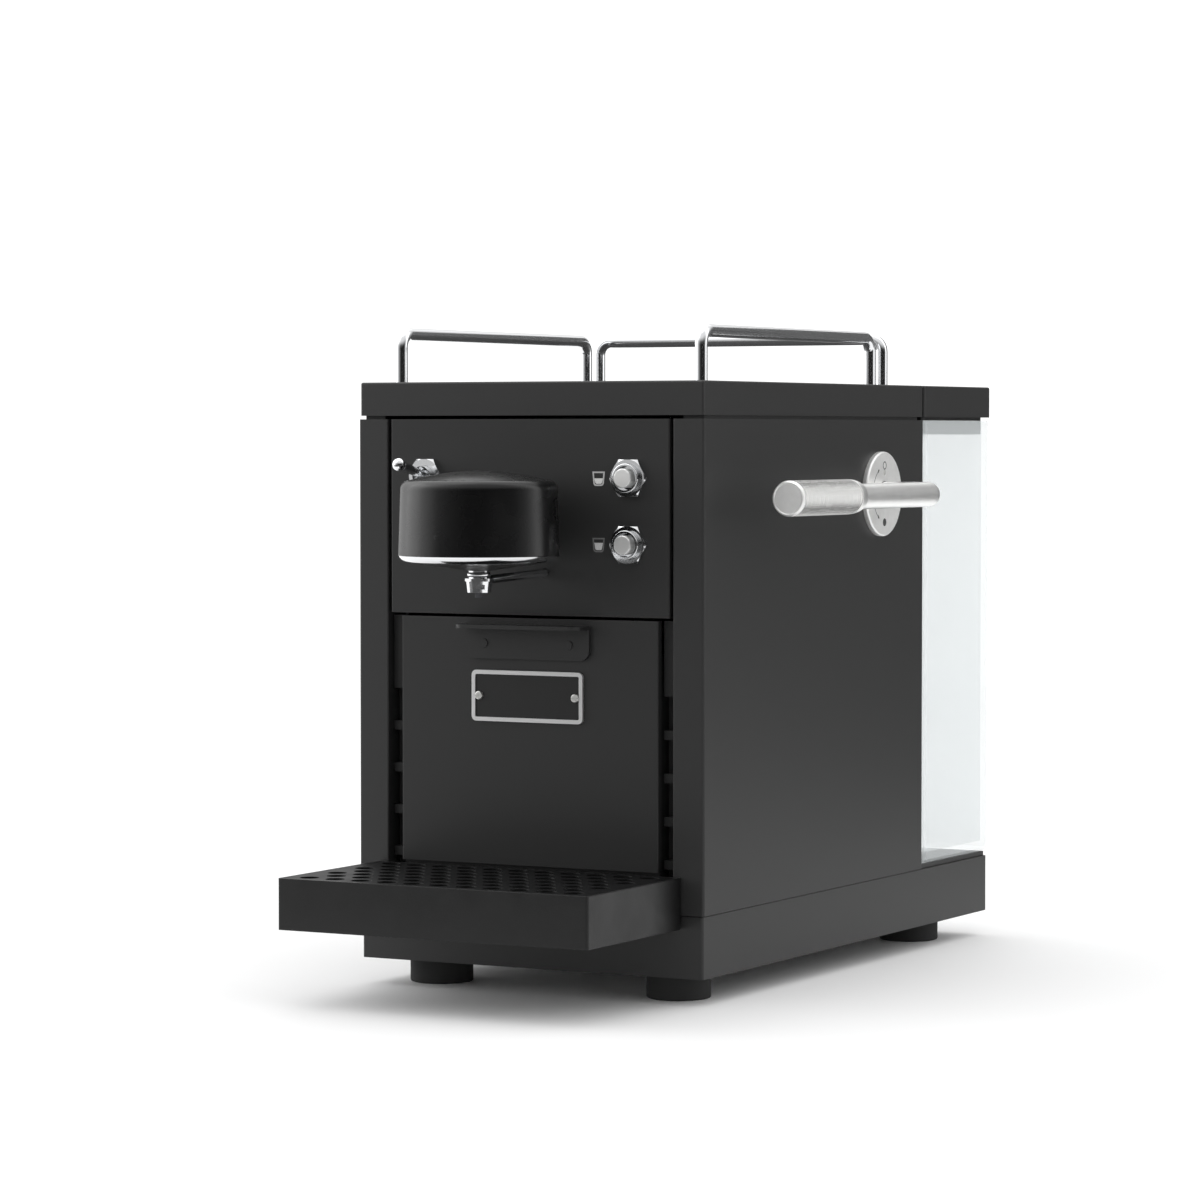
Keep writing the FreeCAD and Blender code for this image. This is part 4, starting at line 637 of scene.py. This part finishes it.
@dataclass
class DripTray:
    """Drip pan with its perforated cover plate."""

    def build(self) -> None:
        """Dresses the pan and the plate."""
        dress(TRAY_PAINT, "tray_pan")
        dress(GRID_STEEL, "tray_grid")


@dataclass
class Drawer:
    """Used-capsule drawer with its pull and blank name plate."""

    def build(self) -> None:
        """Dresses the drawer's pieces."""
        dress(PANEL_PAINT, "drawer_front", "drawer_pull")
        dress(BLACK_PLASTIC, "capsule_bin")
        dress(PLATE_SILVER, "nameplate_frame")
        dress(PLATE_BLACK, "nameplate_face")
        dress(ZINC, "nameplate_screws")


@dataclass
class CoffeeHead:
    """Can, chrome ring, cone and outlet in front of the panel."""

    pin_x: float = -0.0012
    pin_height: float = 0.1817
    pin_slope: float = 0.0003
    pin_radius: float = 0.0006
    pin_sink: float = 0.00018

    def build(self) -> None:
        """Dresses the head and adds the small vent in the can's side."""
        dress(CAN_PAINT, "head_can")
        dress(BLACK_STEEL, "head_cone")
        dress(CHROME, "head_ring", "head_neck", "outlet_tube", "spout_nozzle")
        dress(SEAL, "spout_tip")
        self.vent_eyelet()

    def vent_eyelet(self) -> None:
        """Adds the pressed eyelet round the can's vent hole."""
        low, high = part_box("head_can")
        centre = (low + high) / 2
        radius = (high.x - low.x) / 2
        place = (self.pin_x, centre.y - radius + self.pin_slope - self.pin_sink, self.pin_height)
        r = self.pin_radius
        profile = [
            (0.0008, r * 0.5), (0.0002, r * 0.55), (0.00003, r * 0.75),
            (0.00006, r * 1.05), (0.0003, r * 1.2), (0.0008, r * 1.2),
        ]
        eyelet = Workbench.lathe("can_vent_eyelet", profile, place, Axis.Y, steps=24)
        Workbench.finish(eyelet, Body.ROOT, CAN_PAINT, "panel_paint")


@dataclass
class CupMark:
    """One printed cup outline with its fill, beside a button."""

    name: str
    left: float
    width: float
    low: float
    height: float
    line: float
    fill: float
    ink: Finish
    fill_ink: Finish
    taper: float = 0.00055
    thickness: float = 0.00004
    corner: float = 0.0011
    fill_corner: float = 0.0005
    gap: float = 0.00025

    def build(self, face: float) -> None:
        """Prints the mark.

        Args:
            face: Y of the panel's face.
        """
        outline = self.plate(
            f"{self.name}_outline", face, self.left, self.width, self.low, self.height, self.corner
        )
        self.hollow(outline)
        self.thicken(outline, self.ink)
        inset = self.line + self.gap
        fill = self.plate(
            f"{self.name}_fill", face, self.left + inset, self.width - 2 * inset, self.low + inset, self.fill,
            self.fill_corner,
        )
        self.thicken(fill, self.fill_ink)

    def plate(
        self, name: str, face: float, left: float, width: float, low: float, height: float, corner: float
    ) -> bpy.types.Object:
        """Flat cup shape: narrower at its rounded foot.

        Args:
            name: name of the piece.
            face: Y of the panel's face.
            left: X of its left side at the top.
            width: its width at the top.
            low: Z of its foot.
            height: its height.
            corner: radius of the corners at the foot.

        Returns:
            The shape, one face thick.
        """
        Workbench.clear()
        middle = (left + width / 2, face - self.thickness, low + height / 2)
        bpy.ops.mesh.primitive_plane_add(size=1.0, location=middle, rotation=(math.pi / 2, 0.0, 0.0))
        piece = bpy.context.object
        piece.name = name
        piece.scale = (width, height, 1.0)
        bpy.ops.object.transform_apply(location=True, rotation=True, scale=True)
        bpy.ops.object.mode_set(mode="EDIT")
        Workbench.pick("VERT", lambda co, _: co.z < low + height / 2)
        shrink = 1.0 - 2 * self.taper / width
        bpy.ops.transform.resize(value=(shrink, 1.0, 1.0), center_override=middle)
        bpy.ops.mesh.bevel(offset=corner, affect="VERTICES", segments=5)
        bpy.ops.object.mode_set(mode="OBJECT")
        return piece

    def hollow(self, piece: bpy.types.Object) -> None:
        """Cuts the middle out of a shape and leaves its line."""
        Workbench.clear()
        bpy.context.view_layer.objects.active = piece
        bpy.ops.object.mode_set(mode="EDIT")
        bpy.ops.mesh.select_mode(type="FACE")
        bpy.ops.mesh.select_all(action="SELECT")
        bpy.ops.mesh.inset(thickness=self.line)
        bpy.ops.mesh.delete(type="FACE")
        bpy.ops.object.mode_set(mode="OBJECT")

    def thicken(self, piece: bpy.types.Object, ink: Finish) -> None:
        """Gives a shape the thickness of the ink and finishes it."""
        Workbench.modify(piece, "SOLIDIFY", thickness=self.thickness, offset=1.0)
        Workbench.finish(piece, Body.ROOT, ink, "plate_silver")


@dataclass
class Controls:
    """Push buttons, toggle and the marks beside them."""

    mark_left: float = 0.0288
    mark_width: float = 0.0055
    mark_height: float = 0.0056
    mark_line: float = 0.0006
    upper_mark: float = 0.2005
    upper_fill: float = 0.0021
    lower_mark: float = 0.1748
    lower_fill: float = 0.0028
    ink_bright: Print = field(default_factory=lambda: Print("ink_bright", colour=(0.42, 0.42, 0.42)))
    ink_dim: Print = field(default_factory=lambda: Print("ink_dim", colour=(0.10, 0.10, 0.10)))
    ink_pale: Print = field(default_factory=lambda: Print("ink_pale", colour=(0.62, 0.62, 0.61)))

    def build(self) -> None:
        """Dresses the controls and prints the marks."""
        dress(CHROME, "toggle_bat", "control_bushings", "panel_nuts")
        dress(BLACK_PLASTIC, "switch_bodies")
        for name in ("button_cap_upper", "button_cap_lower"):
            low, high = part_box(name)
            middle = (low + high) / 2
            finish = TurnedMetal(
                f"{name}_face", colour=(0.94, 0.94, 0.93), gloss=(0.46, 0.56), centre=tuple(middle),
                axis=Axis.Y, pitch=0.0002,
            )
            dress(finish, name)
        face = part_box("front_panel")[0].y
        CupMark(
            "large_cup_mark", self.mark_left, self.mark_width, self.upper_mark, self.mark_height,
            self.mark_line, self.upper_fill, self.ink_bright, self.ink_pale,
        ).build(face)
        CupMark(
            "small_cup_mark", self.mark_left, self.mark_width, self.lower_mark, self.mark_height,
            self.mark_line, self.lower_fill, self.ink_dim, self.ink_bright,
        ).build(face)


@dataclass
class Lever:
    """Brewing lever: disc with its engraving, bar and knurled grip."""

    radius: float = 0.0070
    relief: float = 0.00032
    front_gap: float = 0.0022
    taper: float = 0.0070
    neck: float = 0.0054
    around: int = 116
    pitch: float = 0.0004
    mark_radius: float = 0.0113
    mark_line: float = 0.00028
    mark_depth: float = 0.00003
    mark_sink: float = 0.0001
    mark_shift: float = 0.0005
    ring_inner: float = 0.0013
    ring_outer: float = 0.0017
    dot_top: float = 0.0016
    dot_foot: float = 0.0017
    arrow_size: float = 0.0011
    arrow_slimness: float = 0.7
    flush: float = 0.985

    def __post_init__(self) -> None:
        """Reads the places of the CAD pieces."""
        self.low, self.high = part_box("lever_grip")
        self.x = (self.low.x + self.high.x) / 2
        self.z = (self.low.z + self.high.z) / 2
        disc_low, disc_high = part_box("lever_disc")
        self.face = disc_high.x
        self.disc = (self.face, (disc_low.y + disc_high.y) / 2, (disc_low.z + disc_high.z) / 2)

    def build(self) -> None:
        """Dresses the lever and builds its grip and engraving."""
        dress(SATIN_BAR, "lever_arm")
        dress(
            TurnedMetal(
                "disc_face", colour=(0.96, 0.96, 0.95), gloss=(0.46, 0.56), centre=self.disc, pitch=0.0003
            ),
            "lever_disc",
        )
        dress(ZINC, "cranks", "links")
        dress(STEEL, "cross_shaft")
        dress(GREY_PLASTIC, "shaft_bushes")
        self.knurled_sleeve()
        self.end_cap()
        self.rear_taper()
        self.engraving()

    def knurled_sleeve(self) -> None:
        """Sleeve covered in small raised diamonds."""
        start = self.low.y + self.front_gap
        stop = self.high.y - self.taper
        rows = round((stop - start) / self.pitch / 2) * 2
        middle = (self.x, (start + stop) / 2, self.z)
        root = self.radius - self.relief
        Workbench.clear()
        bpy.ops.mesh.primitive_cylinder_add(
            vertices=self.around, radius=root, depth=stop - start, end_fill_type="NOTHING", location=middle,
            rotation=(math.pi / 2, 0.0, 0.0),
        )
        sleeve = bpy.context.object
        sleeve.name = "grip_sleeve"
        bpy.ops.object.transform_apply(location=True, rotation=True, scale=True)
        bpy.ops.object.mode_set(mode="EDIT")
        Workbench.pick("EDGE", lambda _, way: abs(way.y) > 0.9)
        bpy.ops.mesh.subdivide(number_cuts=rows - 1)
        step = 2 * math.pi / self.around
        length = (stop - start) / rows

        def raised(co: Vector, _: Vector) -> bool:
            """Whether a corner is the top of a diamond."""
            turn = round(math.atan2(co.x - self.x, co.z - self.z) / step)
            row = round((co.y - start) / length)
            return 0 < row < rows and (turn + row) % 2 == 0

        Workbench.pick("VERT", raised)
        grow = self.radius / root
        bpy.ops.transform.resize(value=(grow, 1.0, grow), center_override=middle)
        bpy.ops.mesh.select_all(action="SELECT")
        bpy.ops.mesh.quads_convert_to_tris(quad_method="SHORTEST_DIAGONAL")
        bpy.ops.mesh.normals_make_consistent(inside=False)
        bpy.ops.object.mode_set(mode="OBJECT")
        finish = BrushedMetal("knurl_metal", colour=(0.60, 0.60, 0.59), gloss=(0.20, 0.30), edge=0.0)
        Workbench.finish(sleeve, Body.LEVER, finish, "satin_aluminium", smooth=1.0)
        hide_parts("lever_grip")

    def end_cap(self) -> None:
        """Turned cap with a bright bevelled ring, in the sleeve's front end."""
        y = self.low.y
        r = self.radius
        profile = [
            (0.0004, 0.0), (0.0004, r * 0.80), (0.00055, r * 0.82), (0.0002, r * 0.845), (0.0, r * 0.865),
            (0.0, r * 0.90), (0.0003, r * 0.955), (0.0009, r * self.flush), (0.0014, r * self.flush),
            (0.0016, r * 0.93), (0.0019, r * 0.93), (0.0021, r * 0.975), (0.0023, r * 0.968),
            (0.0024, r * 0.5), (0.0024, 0.0),
        ]
        cap = Workbench.lathe("grip_end_cap", profile, (self.x, y, self.z), Axis.Y, steps=96)
        finish = TurnedMetal(
            "cap_metal", colour=(0.95, 0.95, 0.94), gloss=(0.46, 0.56), centre=(self.x, y, self.z),
            axis=Axis.Y, pitch=0.00025,
        )
        Workbench.finish(cap, Body.LEVER, finish, "brushed_cap")

    def rear_taper(self) -> None:
        """Smooth shoulder that leads from the sleeve down to the bar."""
        y = self.high.y - self.taper
        r = self.radius
        span = self.taper
        profile = [(-0.0002, r * 0.5), (-0.0002, r * 0.965)]
        for k in range(9):
            share = k / 8
            drop = 1.0 - math.cos(share * math.pi / 2)
            reach = span * math.sin(share * math.pi / 2) * self.flush
            profile.append((reach, r * self.flush - (r * self.flush - self.neck) * drop))
        profile += [(span, self.neck * 0.99), (span, self.neck * 0.6)]
        shoulder = Workbench.lathe("grip_shoulder", profile, (self.x, y, self.z), Axis.Y, steps=96)
        Workbench.finish(shoulder, Body.LEVER, SATIN_BAR, "satin_aluminium")

    def engraving(self) -> None:
        """Filled arcs with arrow heads, and a ring and a dot for open and closed."""
        ink = Print("engraving_fill", colour=(0.05, 0.05, 0.05))
        r = self.mark_radius
        half = self.mark_line / 2
        top = self.mark_depth
        foot = -self.mark_sink
        strip = [(foot, r - half), (top, r - half), (top, r + half), (foot, r + half), (foot, r - half)]
        for name, start, tip, side in (("open_arc", 32.0, 65.0, 1), ("close_arc", 115.0, 148.0, -1)):
            arc = Workbench.lathe(name, strip, self.disc, Axis.X, steps=24, turn=start - tip, start=start)
            Workbench.finish(arc, Body.ROOT, ink, "plate_black")
            angle = math.radians(start if side > 0 else tip)
            self.arrow(f"{name}_arrow", angle, side, ink)
        inner = self.ring_inner
        outer = self.ring_outer
        ring = [(foot, inner), (top, inner), (top, outer), (foot, outer), (foot, inner)]
        place = (self.face, self.disc[1], self.disc[2] + r + self.mark_shift)
        Workbench.finish(Workbench.lathe("open_ring", ring, place, Axis.X, 32), Body.ROOT, ink, "plate_black")
        dot = [(top, 0.0), (top, self.dot_top), (foot, self.dot_foot)]
        place = (self.face, self.disc[1], self.disc[2] - r - self.mark_shift)
        Workbench.finish(Workbench.lathe("closed_dot", dot, place, Axis.X, 32), Body.ROOT, ink, "plate_black")

    def arrow(self, name: str, angle: float, side: int, ink: Finish) -> None:
        """Arrow head at an arc's end.

        Args:
            name: name of the piece.
            angle: angle of the arc's end from the top, in radians.
            side: 1 points up along the arc, -1 points down.
            ink: its finish.
        """
        r = self.mark_radius
        place = (self.face, self.disc[1] - r * math.sin(angle), self.disc[2] + r * math.cos(angle))
        Workbench.clear()
        bpy.ops.mesh.primitive_circle_add(
            vertices=3, radius=self.arrow_size, fill_type="NGON", location=place,
            rotation=(0.0, math.pi / 2, 0.0),
        )
        head = bpy.context.object
        head.name = name
        bpy.ops.object.transform_apply(location=True, rotation=True, scale=True)
        bpy.ops.object.mode_set(mode="EDIT")
        bpy.ops.mesh.select_all(action="SELECT")
        bpy.ops.transform.resize(value=(1.0, self.arrow_slimness, 1.0), center_override=place)
        bpy.ops.object.mode_set(mode="OBJECT")
        tip = max(head.data.vertices, key=lambda v: abs(v.co.z - place[2])).co - Vector(place)
        way = Vector((0.0, math.cos(angle), math.sin(angle))) * side
        turn = Vector((tip.y, tip.z)).angle_signed(Vector((way.y, way.z)))
        spin = Matrix.Translation(place) @ Matrix.Rotation(-turn, 4, "X") @ Matrix.Translation(-Vector(place))
        head.data.transform(spin)
        Workbench.modify(head, "SOLIDIFY", thickness=self.mark_depth * 2, offset=0.0)
        Workbench.finish(head, Body.ROOT, ink, "plate_black")


@dataclass
class WaterTank:
    """Clear tank at the rear with its valve, seat and lid."""

    def build(self) -> None:
        """Dresses the tank's pieces."""
        dress(CLEAR, "water_tank")
        dress(GREY_PLASTIC, "tank_valve")
        dress(SEAL, "tank_seat")
        dress(CASE_PAINT, "tank_lid")


@dataclass
class BrewWorks:
    """Pump, heater, brewing chamber and electrics inside the case."""

    board_thickness: float = 0.0015
    capacitor_radius: float = 0.0042
    capacitor_height: float = 0.0092
    capacitor_pitch: float = 0.0135
    capacitor_count: int = 5
    capacitor_first: float = 0.014
    capacitor_rise: float = 0.049

    def build(self) -> None:
        """Dresses the inner works."""
        dress(GREY_PLASTIC, "carriage")
        dress(CAST, "capsule_holder", "heater_block")
        dress(STEEL, "brew_cage")
        dress(BLACK_PLASTIC, "pump", "power_inlet")
        dress(RUBBER, "pump_mounts")
        dress(HOSE, "hoses")
        dress(BOARD, "control_board")
        self.capacitors()

    def capacitors(self) -> None:
        """Stands a row of capacitors on the control board."""
        low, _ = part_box("control_board")
        r = self.capacitor_radius
        h = self.capacitor_height
        profile = [
            (-0.0002, 0.0), (-0.0002, r * 0.94), (0.0004, r), (0.0012, r), (0.0015, r * 0.93),
            (0.0019, r * 0.93), (0.0022, r), (h - 0.0005, r), (h, r * 0.9), (h, r * 0.72),
            (h - 0.0003, r * 0.7), (h - 0.0003, 0.0),
        ]
        row_x = low.x + self.board_thickness
        row_start = low.y + self.capacitor_first
        row_z = low.z + self.capacitor_rise
        for count in range(self.capacitor_count):
            place = (row_x, row_start + count * self.capacitor_pitch, row_z)
            capacitor = Workbench.lathe(f"board_capacitor_{count + 1}", profile, place, Axis.X, steps=40)
            Workbench.finish(capacitor, Body.ROOT, SEAL, "black_plastic")


@dataclass
class Softbox:
    """One soft light."""

    name: str
    place: Point
    aim: Point
    size: tuple[float, float]
    radiance: float

    def build(self) -> None:
        """Hangs the light."""
        area = self.size[0] * self.size[1]
        data = bpy.data.lights.new(self.name, "AREA")
        data.shape = "RECTANGLE"
        data.size, data.size_y = self.size
        data.energy = self.radiance * math.pi * area
        light = bpy.data.objects.new(self.name, data)
        bpy.context.scene.collection.objects.link(light)
        light.location = self.place
        light.rotation_euler = (Vector(self.aim) - Vector(self.place)).to_track_quat("-Z", "Y").to_euler()
        log.info("%s: radiance %.2f", self.name, self.radiance)


@dataclass
class Card:
    """One dark card that only shows in the machine's reflections."""

    name: str
    place: Point
    turn: Point
    size: tuple[float, float]
    colour: Colour

    def build(self) -> None:
        """Stands the card."""
        Workbench.clear()
        bpy.ops.mesh.primitive_grid_add(x_subdivisions=2, y_subdivisions=2, size=1.0)
        card = bpy.context.object
        card.name = self.name
        card.scale = (self.size[0], self.size[1], 1.0)
        bpy.ops.object.transform_apply(location=False, rotation=False, scale=True)
        card.rotation_euler = [math.radians(angle) for angle in self.turn]
        card.location = self.place
        bpy.ops.object.transform_apply(location=True, rotation=True, scale=True)
        card.data.materials.append(Bench(f"{self.name}_felt", colour=self.colour).material())
        card.visible_camera = False
        card.visible_diffuse = False
        card.visible_transmission = False
        card.visible_volume_scatter = False
        card.visible_shadow = False
        log.info("%s: %.2f x %.2f m", self.name, *self.size)


@dataclass
class Studio:
    """Floor, soft light and camera."""

    camera_place: Point = (0.80910, -1.57044, 0.22002)
    camera_tilt: float = 90.0 - 2.2407
    camera_turn: float = 28.484
    lens: float = 126.07
    floor_size: float = 3.6
    fill: float = 1.2
    walls: tuple[tuple[float, float], ...] = (
        (-180.0, 0.5), (-130.0, 0.8), (-95.0, 1.4), (-60.0, 1.7), (-28.0, 0.6), (-6.0, 0.2), (15.0, 0.02),
        (80.0, 0.02), (98.0, 0.3), (118.0, 1.3), (138.0, 0.45), (152.0, 0.1), (166.0, 0.2), (180.0, 0.5),
    )
    ceiling: tuple[tuple[float, float], ...] = ((-90.0, 0.0), (8.0, 0.0), (45.0, 0.9), (90.0, 1.0))
    cards: list[Card] = field(
        default_factory=lambda: [
            Card("front_floor_card", (-0.25, -1.12, 0.001), (0.0, 0.0, 0.0), (2.3, 1.3), (0.10, 0.10, 0.10)),
            Card("right_floor_card", (0.85, 1.12, 0.001), (0.0, 0.0, 0.0), (1.5, 1.3), (0.08, 0.08, 0.08)),
            Card("front_card", (0.05, -0.55, 0.101), (90.0, 0.0, 0.0), (0.62, 0.19), (0.06, 0.06, 0.06)),
            Card("rear_card", (0.2175, 0.62, 0.33), (90.0, 0.0, 0.0), (0.375, 0.56), (0.10, 0.10, 0.10)),
        ]
    )
    softboxes: list[Softbox] = field(
        default_factory=lambda: [
            Softbox("left_softbox", (-1.5, -0.35, 0.75), (0.0, 0.0, 0.12), (1.1, 1.3), 1.1),
            Softbox("right_rear_softbox", (1.45, 0.85, 0.65), (0.0, 0.0, 0.15), (0.5, 1.1), 0.9),
            Softbox("top_softbox", (0.1, 0.2, 2.1), (0.0, 0.0, 0.0), (2.0, 2.0), 0.3),
        ]
    )

    def build(self) -> None:
        """Sets the studio."""
        self.floor()
        self.surround()
        for card in self.cards:
            card.build()
        for softbox in self.softboxes:
            softbox.build()
        self.camera()
        bpy.context.scene.view_settings.view_transform = "Standard"

    def floor(self) -> None:
        """Lays the pale floor."""
        Workbench.clear()
        bpy.ops.mesh.primitive_grid_add(x_subdivisions=8, y_subdivisions=8, size=self.floor_size)
        floor = bpy.context.object
        floor.name = "studio_floor"
        floor.data.materials.append(Bench("pale_floor").material())

    def surround(self) -> None:
        """Lights the room evenly and white; the machine reflects a room with lighter and darker walls."""
        world = bpy.data.worlds.new("studio")
        bpy.context.scene.world = world
        world.use_nodes = True
        world.cycles.sampling_method = "NONE"
        tree = world.node_tree
        sky = tree.nodes["Background"]
        sky.inputs["Color"].default_value = (1.0, 1.0, 1.0, 1.0)
        parts = tree.nodes.new("ShaderNodeSeparateXYZ")
        tree.links.new(tree.nodes.new("ShaderNodeTexCoord").outputs["Generated"], parts.inputs["Vector"])
        back = self.calculate(tree, "MULTIPLY", parts.outputs["Y"], -1.0)
        bearing = self.calculate(tree, "ARCTAN2", parts.outputs["X"], back)
        share = self.calculate(tree, "MULTIPLY_ADD", bearing, 0.5 / math.pi, 0.5)
        walls = self.ramp(tree, share, [((turn + 180.0) / 360.0, level) for turn, level in self.walls])
        height = self.calculate(tree, "MULTIPLY_ADD", parts.outputs["Z"], 0.5, 0.5)
        heights = [(0.5 + math.sin(math.radians(up)) / 2, level) for up, level in self.ceiling]
        ceiling = self.ramp(tree, height, heights)
        mirror = self.calculate(tree, "ADD", walls, ceiling)
        rays = tree.nodes.new("ShaderNodeLightPath")
        opaque = self.calculate(tree, "SUBTRACT", 1.0, rays.outputs["Is Transmission Ray"])
        reflected = self.calculate(tree, "MULTIPLY", rays.outputs["Is Glossy Ray"], opaque)
        level = tree.nodes.new("ShaderNodeMix")
        level.inputs["A"].default_value = self.fill
        tree.links.new(mirror, level.inputs["B"])
        tree.links.new(reflected, level.inputs["Factor"])
        tree.links.new(level.outputs["Result"], sky.inputs["Strength"])

    @staticmethod
    def calculate(
        tree: bpy.types.NodeTree, operation: str, *values: bpy.types.NodeSocket | float
    ) -> bpy.types.NodeSocket:
        """Adds one step of arithmetic.

        Args:
            tree: the node tree.
            operation: Blender's name for the step.
            values: outputs or numbers.

        Returns:
            The result.
        """
        node = tree.nodes.new("ShaderNodeMath")
        node.operation = operation
        for socket, value in zip(node.inputs, values):
            if isinstance(value, float):
                socket.default_value = value
            else:
                tree.links.new(value, socket)
        return node.outputs["Value"]

    @staticmethod
    def ramp(
        tree: bpy.types.NodeTree, source: bpy.types.NodeSocket, stops: list[tuple[float, float]]
    ) -> bpy.types.NodeSocket:
        """Smooth grey ramp.

        Args:
            tree: the node tree.
            source: the value that picks the place on the ramp.
            stops: (place, grey level) in order.

        Returns:
            The grey level.
        """
        node = tree.nodes.new("ShaderNodeValToRGB")
        scale = node.color_ramp
        scale.interpolation = "EASE"
        while len(scale.elements) < len(stops):
            scale.elements.new(0.5)
        for element, (place, level) in zip(scale.elements, stops):
            element.position = place
            element.color = (level, level, level, 1.0)
        tree.links.new(source, node.inputs["Fac"])
        return node.outputs["Color"]

    def camera(self) -> None:
        """Stands the camera in front and to the right of the machine."""
        data = bpy.data.cameras.new("studio_camera")
        data.lens = self.lens
        data.sensor_width = 36.0
        data.clip_start = 0.05
        data.clip_end = 100.0
        camera = bpy.data.objects.new("studio_camera", data)
        bpy.context.scene.collection.objects.link(camera)
        camera.location = self.camera_place
        camera.rotation_euler = (math.radians(self.camera_tilt), 0.0, math.radians(self.camera_turn))
        bpy.context.scene.camera = camera


def main() -> None:
    """Builds the machine's sub-assemblies in order, then the studio."""
    for part in (
        Casework(), DripTray(), Drawer(), CoffeeHead(), Controls(), Lever(), WaterTank(), BrewWorks(),
    ):
        part.build()
        log.info("%s is done", type(part).__name__)
    Studio().build()
    Workbench.clear()


if __name__ == "__main__":
    main()
